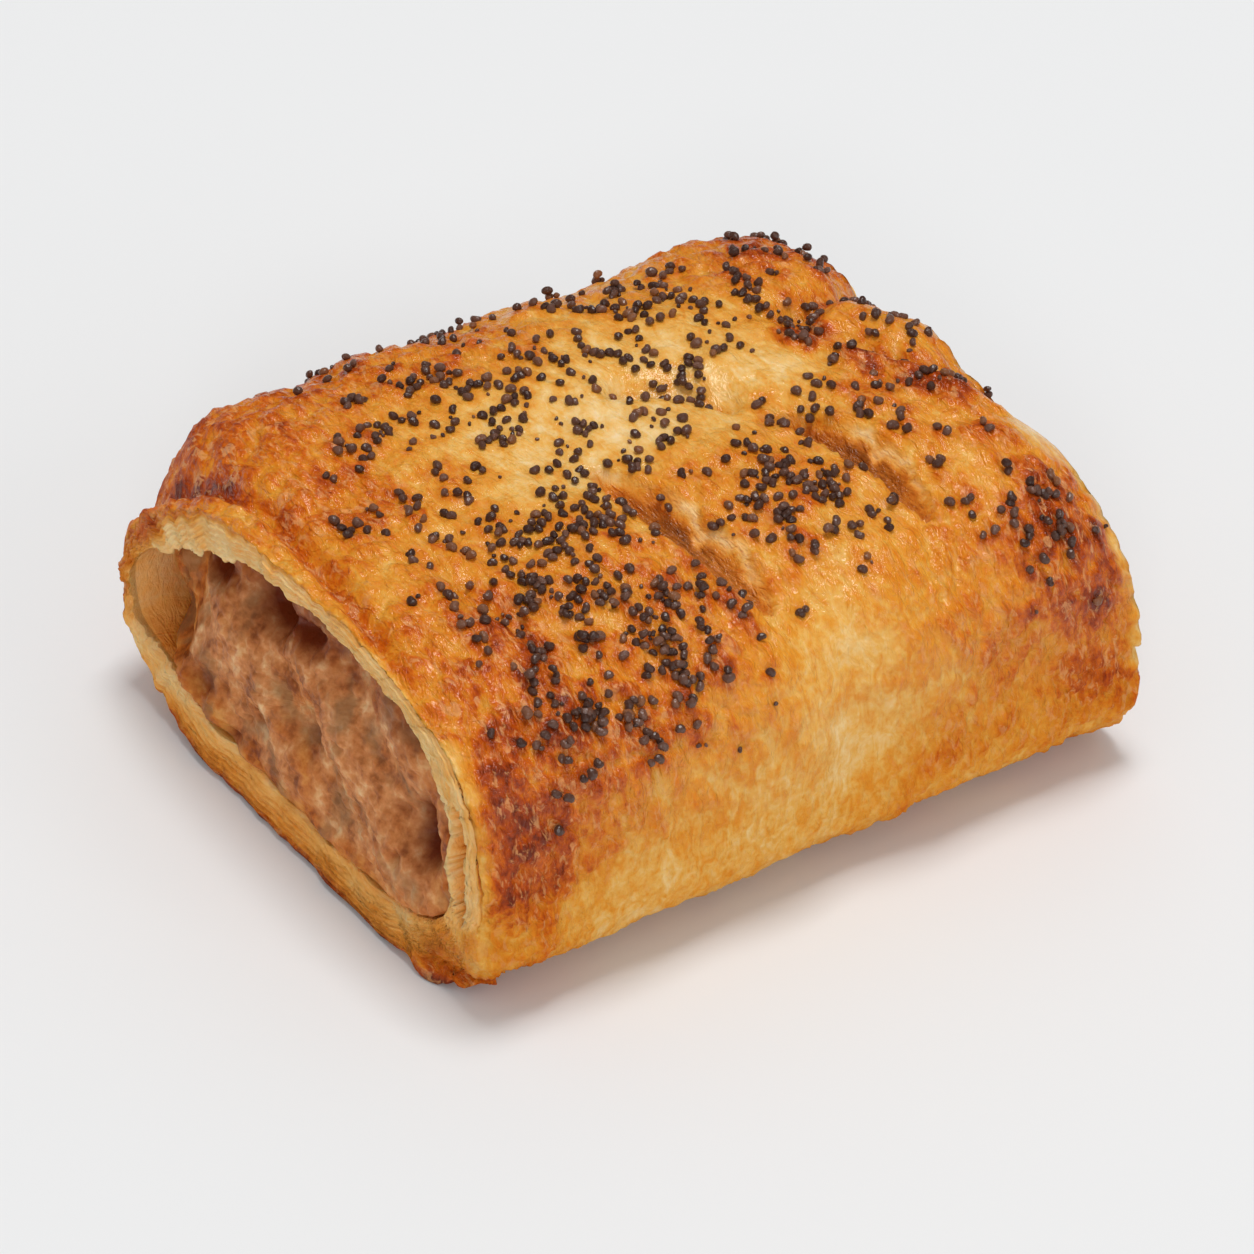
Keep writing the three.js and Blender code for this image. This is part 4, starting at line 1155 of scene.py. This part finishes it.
def meat_material():
    made, tree, shader = new_material("sausage_meat")
    place = add_node(tree, "ShaderNodeTexCoord").outputs["Object"]
    mince = speckle(tree, place, *MINCE_GRAIN)
    grain = speckle(tree, place, *MEAT_GRAIN)
    tone = plus(tree, mince, weighted(tree, (grain, GRAIN_TONE)))
    patches = weighted(tree, (speckle(tree, place, *MEAT_CLOUDS), ROAST_PATCHES))
    roasted = plus(tree, measured(tree, "rim"), patches, clamp=True)
    base = mix_colours(tree, roasted, ramp(tree, tone, lean_stops), ramp(tree, tone, roasted_stops))
    moved = add_node(tree, "ShaderNodeMapping", Vector=place, Location=FAT_SHIFT).outputs["Vector"]
    fat = turned_on(tree, speckle(tree, moved, *FAT_GRAIN), *FAT_FROM)
    base = mix_colours(tree, fat, base, FAT_COLOUR)
    # painted shade: the deeper a pocket, the darker its colour
    depth = times(tree, measured(tree, "pocket_shade"), POCKET_SHADE_SHARE, clamp=True)
    fill_inputs(tree, shader, {
        "Base_Color": mix_colours(tree, depth, base, POCKET_SHADE_COLOUR),
        "Normal": bumps(tree, grain, *MEAT_FINE_BUMPS, bumps(tree, mince, *MINCE_BUMPS)),
        "Roughness": 0.42, "Specular_IOR_Level": 0.16, "Subsurface_Weight": 0.2,
        "Subsurface_Radius": (1.0, 0.45, 0.25), "Subsurface_Scale": 1.5 * MM,
    })
    return made


filling.data.materials.append(meat_material())
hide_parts("filling")
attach(filling, "root")

# ---------------------------------------------------------------------------------------------
# The poppy seeds: small dark kidneys a little over 1 long, thrown by hand over the wet egg glaze,
# so that they lie in clumps, some on top of others. The crust is coloured darker in a ring round each.
# ---------------------------------------------------------------------------------------------
SEED_LENGTH = 1.20
SEED_WIDTH = 0.84               # shares of its length
SEED_THICKNESS = 0.74
SEED_CLOSEST = 0.70
SEED_LAYER = 0.55               # how far a seed on top of others lies above them
SEED_SINK = 0.12
HIGHEST_PILE = 34               # no seeds lie on others above this
SEED_COUNT = 1200
HALO_REACH = 1.5
HALO_STEEPNESS = 4
draws = np.random.default_rng(seed=7)

# Where the seeds fell most thickly: the broad sowings (where, how broad, how thickly) and the
# clumps within them (where, how broad, how many)
sowings = [
    ((5, 6), (44, 24), 0.60), ((-17, -20), (17, 20), 0.85), ((-27, -28), (10, 9), 0.72),
    ((-31, -34.5), (8, 5), 0.65), ((10, -18), (8, 9), 0.85), ((30, -8), (10, 18), 0.38),
    ((32, -30), (7, 7), 0.70),
]
clumps = [
    ((-10.8, -12), 1.8, 21), ((-15, -10), 1.6, 7), ((-10, -25), 1.8, 15), ((-13.4, -28.5), 1.9, 19),
    ((-13.8, -32), 1.6, 10), ((-6.5, -25), 1.3, 6), ((-20, -20), 1.5, 6), ((-16, -22), 1.3, 6),
    ((-20, -34), 1.5, 7), ((-24, -33), 1.4, 6), ((7, -21), 1.5, 6), ((9, -15), 1.6, 7),
    ((12, -18), 1.6, 7), ((10, 9.5), 1.7, 9), ((13, 5), 1.6, 7), ((4.5, 0), 1.5, 6), ((-2, 2), 1.3, 5),
    ((-9, 6), 1.6, 6), ((-8, 15), 2.0, 6), ((-10, 19.5), 1.8, 4), ((21, 16), 1.6, 6),
    ((26, 14.5), 1.8, 7), ((34, 20), 1.8, 7), ((32.5, -32.5), 1.4, 9), ((32, -29), 1.2, 4),
]
CLUMP_SPREAD = 0.55
CLUMP_FULLNESS = 1.5
SOWN_FROM_X = -36.0             # no seeds nearer the near end than this, and further in at the back
SOWN_FADE = 5.0
SOWN_SLANT = 0.4
SOWN_X = (-HALF_LENGTH + 5, HALF_LENGTH - 1.5)
SOWN_Y = (-37.0, 35.5)
SEEDS_WITHIN = (-HALF_LENGTH + 3, HALF_LENGTH - 1.2)
THINNEST_SOWING = 0.08
TOGETHER = (0.42, 0.28, 0.19, 0.11)     # shares that fall alone, in twos, threes and fours
TOGETHER_REACH = 0.75
LOWEST_ANGLE = 0.02
ANGLE_STEPS = 721


def sown_at(x, y):
    shares = [share * patch(x, y, middle, reach) for middle, reach, share in sowings]
    edge = past(x - SOWN_SLANT * max(y, 0), SOWN_FROM_X, SOWN_FADE)
    return np.max(shares, axis=0) * edge


def angle_over(x, y):
    """The angle at which the crown lies over a point of the plan"""
    fine = np.linspace(LOWEST_ANGLE, np.pi - LOWEST_ANGLE, ANGLE_STEPS)
    table = smooth_roll(np.zeros_like(fine), fine)[:, 1]
    return np.interp(-y, -table, fine)


def drawn_places():
    """Places of the plan, drawn at random: first the clumps, then the sowing in twos and threes"""
    xs, ys = [], []
    for (middle_x, middle_y), reach, count in clumps:
        spread = draws.normal(0, reach * CLUMP_SPREAD, (round(count * CLUMP_FULLNESS), 2))
        xs.append(middle_x + spread[:, 0])
        ys.append(middle_y + spread[:, 1])
    count = 0
    while count < SEED_COUNT:
        x = draws.uniform(*SOWN_X)
        y = draws.uniform(*SOWN_Y)
        if draws.uniform(THINNEST_SOWING, 1) > sown_at(x, y):
            continue
        together = draws.choice([1, 2, 3, 4], p=TOGETHER)
        xs.append(x + draws.normal(0, TOGETHER_REACH, together))
        ys.append(y + draws.normal(0, TOGETHER_REACH, together))
        count += together
    return np.concatenate(xs), np.concatenate(ys)


seed_x, seed_y = drawn_places()
seed_x = np.clip(seed_x, *SEEDS_WITHIN)
seed_angle = angle_over(seed_x, seed_y)
lying_on = crust_point(seed_x, seed_angle)
seed_normal = outward(seed_x, seed_angle)
bare_there = sum(sum(slash_shape(s, lying_on[:, 0], lying_on[:, 1])[1:]) for s in slashes)


def settle(places, normals, sizes):
    """Each seed drops onto the crust or onto seeds that lie there already; a third layer falls off"""
    kept = []
    middles = np.empty((0, 3))
    for i, (place, normal, size) in enumerate(zip(places, normals, sizes)):
        for layer in range(2 if place[2] < HIGHEST_PILE else 1):
            lift = size * SEED_LENGTH * (SEED_THICKNESS / 2 - SEED_SINK) + layer * SEED_LAYER
            middle = place + normal * lift
            if len(middles) == 0 or np.min(np.linalg.norm(middles - middle, axis=1)) > SEED_CLOSEST * size:
                middles = np.vstack([middles, middle])
                kept.append((i, middle))
                break
    return kept


SEED_SIZES = (0.98, 0.09)       # the usual size and how much it varies, and the least and greatest
SIZE_LIMITS = (0.7, 1.15)
BROKEN_SHARE = 0.14
BROKEN_SIZES = (0.35, 0.6)
BARE_LIMIT = 0.4                # few seeds stay in a cut as bare as this
CAUGHT_SHARE = 0.10
seed_sizes = np.clip(draws.normal(*SEED_SIZES, len(seed_x)), *SIZE_LIMITS)
broken = draws.uniform(size=len(seed_x)) < BROKEN_SHARE
seed_sizes[broken] = draws.uniform(*BROKEN_SIZES, broken.sum())
loose = (bare_there < BARE_LIMIT) | (draws.uniform(size=len(seed_x)) < CAUGHT_SHARE)
chosen = np.flatnonzero(loose)
settled = settle(lying_on[chosen], seed_normal[chosen], seed_sizes[chosen])


NOTCH = (0.16, 0.22, 0.3)       # depth, width, and how far round the side it reaches
BEND = 0.10
BEND_MEAN = 0.3
SEED_LEAN = 0.35
SQUASH = (0.90, 1.08)


def seed_form():
    """One kidney-shaped seed of length 1, as its corners and faces"""
    bm = bmesh.new()
    bmesh.ops.create_icosphere(bm, subdivisions=2, radius=0.5)
    for vert in bm.verts:
        x, y, z = vert.co
        notch = NOTCH[0] * math.exp(-(x / NOTCH[1]) ** 2) * smooth(y / NOTCH[2])
        bend = BEND * (math.cos(x * math.pi) / 2 - BEND_MEAN)
        vert.co = (x, (y - notch) * SEED_WIDTH - bend, z * SEED_THICKNESS)
    corners = np.array([vert.co[:] for vert in bm.verts])
    faces = np.array([[vert.index for vert in face.verts] for face in bm.faces])
    bm.free()
    return corners, faces


def turned_seed(corners, normal, size):
    tilt = Vector((0, 0, 1)).rotation_difference(Vector(normal)).to_matrix()
    lean = Matrix.Rotation(draws.normal(0, SEED_LEAN), 3, "X") \
        @ Matrix.Rotation(draws.normal(0, SEED_LEAN), 3, "Y")
    spin = Matrix.Rotation(draws.uniform(0, 2 * math.pi), 3, "Z")
    turn = np.array(tilt @ lean @ spin)
    squash = draws.uniform(*SQUASH, 3) * SEED_LENGTH * size
    return (corners * squash) @ turn.T


def seeds_object():
    corners, faces = seed_form()
    points, polygons, tones = [], [], []
    for i, middle in settled:
        source = chosen[i]
        points.append(turned_seed(corners, seed_normal[source], seed_sizes[source]) + middle)
        polygons.append(faces + len(corners) * len(polygons))
        tones.append(np.full(len(corners), draws.uniform()))
    mesh = bpy.data.meshes.new("poppy_seeds")
    shifted = (np.concatenate(points) + np.array(ROLL_MIDDLE)) * MM
    mesh.from_pydata(shifted.tolist(), [], np.concatenate(polygons).tolist())
    tone = mesh.attributes.new("tone", "FLOAT", "POINT")
    tone.data.foreach_set("value", np.concatenate(tones))
    mesh.polygons.foreach_set("use_smooth", [True] * len(mesh.polygons))
    made = bpy.data.objects.new("poppy_seeds", mesh)
    bpy.context.collection.objects.link(made)
    return made


PIT_SIZE = 0.3
PIT_BUMPS = (0.8, 0.10)
seed_stops = [
    (0.0, colour(66, 42, 34)), (0.5, colour(88, 58, 46)), (0.85, colour(108, 74, 60)),
    (1.0, colour(134, 84, 52)),
]


def seed_material():
    made, tree, shader = new_material("poppy_seed")
    place = add_node(tree, "ShaderNodeTexCoord").outputs["Object"]
    pits = add_node(tree, "ShaderNodeTexVoronoi", Vector=place, Scale=1 / (PIT_SIZE * MM)).outputs["Distance"]
    fill_inputs(tree, shader, {
        "Base_Color": ramp(tree, measured(tree, "tone"), seed_stops),
        "Normal": bumps(tree, pits, *PIT_BUMPS), "Roughness": 0.28, "Specular_IOR_Level": 0.5,
    })
    return made


seeds = seeds_object()
seeds.data.materials.append(seed_material())
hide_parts("pastry")
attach(seeds, "root")

# A ring of darker colour round each seed, on the pastry
seed_tree = kdtree.KDTree(len(settled))
for i, middle in settled:
    seed_tree.insert((Vector(middle) + Vector(ROLL_MIDDLE)) * MM, i)
seed_tree.balance()
halo_values = np.zeros(len(pastry.data.vertices))
for vert in pastry.data.vertices:
    _, _, distance = seed_tree.find(vert.co)
    halo_values[vert.index] = math.exp(-(distance / (HALO_REACH * MM)) ** HALO_STEEPNESS)
halo = pastry.data.attributes.new("seed_halo", "FLOAT", "POINT")
halo.data.foreach_set("value", halo_values)

# ---------------------------------------------------------------------------------------------
# The studio: a plain pale floor in pale surroundings, under soft light from four square cloths:
# a strong one overhead, weaker ones on the left and in front, and a faint one behind.
# ---------------------------------------------------------------------------------------------
FLOOR_SIZE = 8.0                # metres
FLOOR_DROP = 0.05
FLOOR_COLOUR = (0.80, 0.806, 0.81, 1)
SURROUNDINGS = 0.45


def floor_material():
    made, tree, shader = new_material("pale_floor")
    looks = {"Base_Color": FLOOR_COLOUR, "Roughness": 0.9, "Specular_IOR_Level": 0.1}
    fill_inputs(tree, shader, looks)
    return made


floor_mesh = bmesh.new()
bmesh.ops.create_grid(floor_mesh, x_segments=1, y_segments=1, size=FLOOR_SIZE / MM / 2)
floor = make_object("floor", floor_mesh, (0, 0, -FLOOR_DROP))
floor.data.materials.append(floor_material())


def soft_light(name, place, size, watts):
    """A square cloth of light at a place in metres, turned towards the roll"""
    data = bpy.data.lights.new(name, "AREA")
    data.shape = "SQUARE"
    data.size = size
    data.energy = watts
    made = bpy.data.objects.new(name, data)
    made.location = place
    made.rotation_euler = Vector(place).to_track_quat("Z", "Y").to_euler()
    bpy.context.collection.objects.link(made)


soft_light("overhead_cloth", (0.18, 0.05, 2.05), 0.7, 21)
soft_light("left_cloth", (-1.1, -1.5, 1.0), 0.4, 6)
soft_light("front_cloth", (0.5, -1.7, 0.95), 0.8, 4.6)
soft_light("back_cloth", (0.9, 1.35, 1.25), 1.2, 1.5)

world = bpy.data.worlds.new("surroundings")
world.use_nodes = True
world.node_tree.nodes["Background"].inputs["Color"].default_value = (1, 1, 1, 1)
world.node_tree.nodes["Background"].inputs["Strength"].default_value = SURROUNDINGS
world.cycles_visibility.glossy = False
bpy.context.scene.world = world
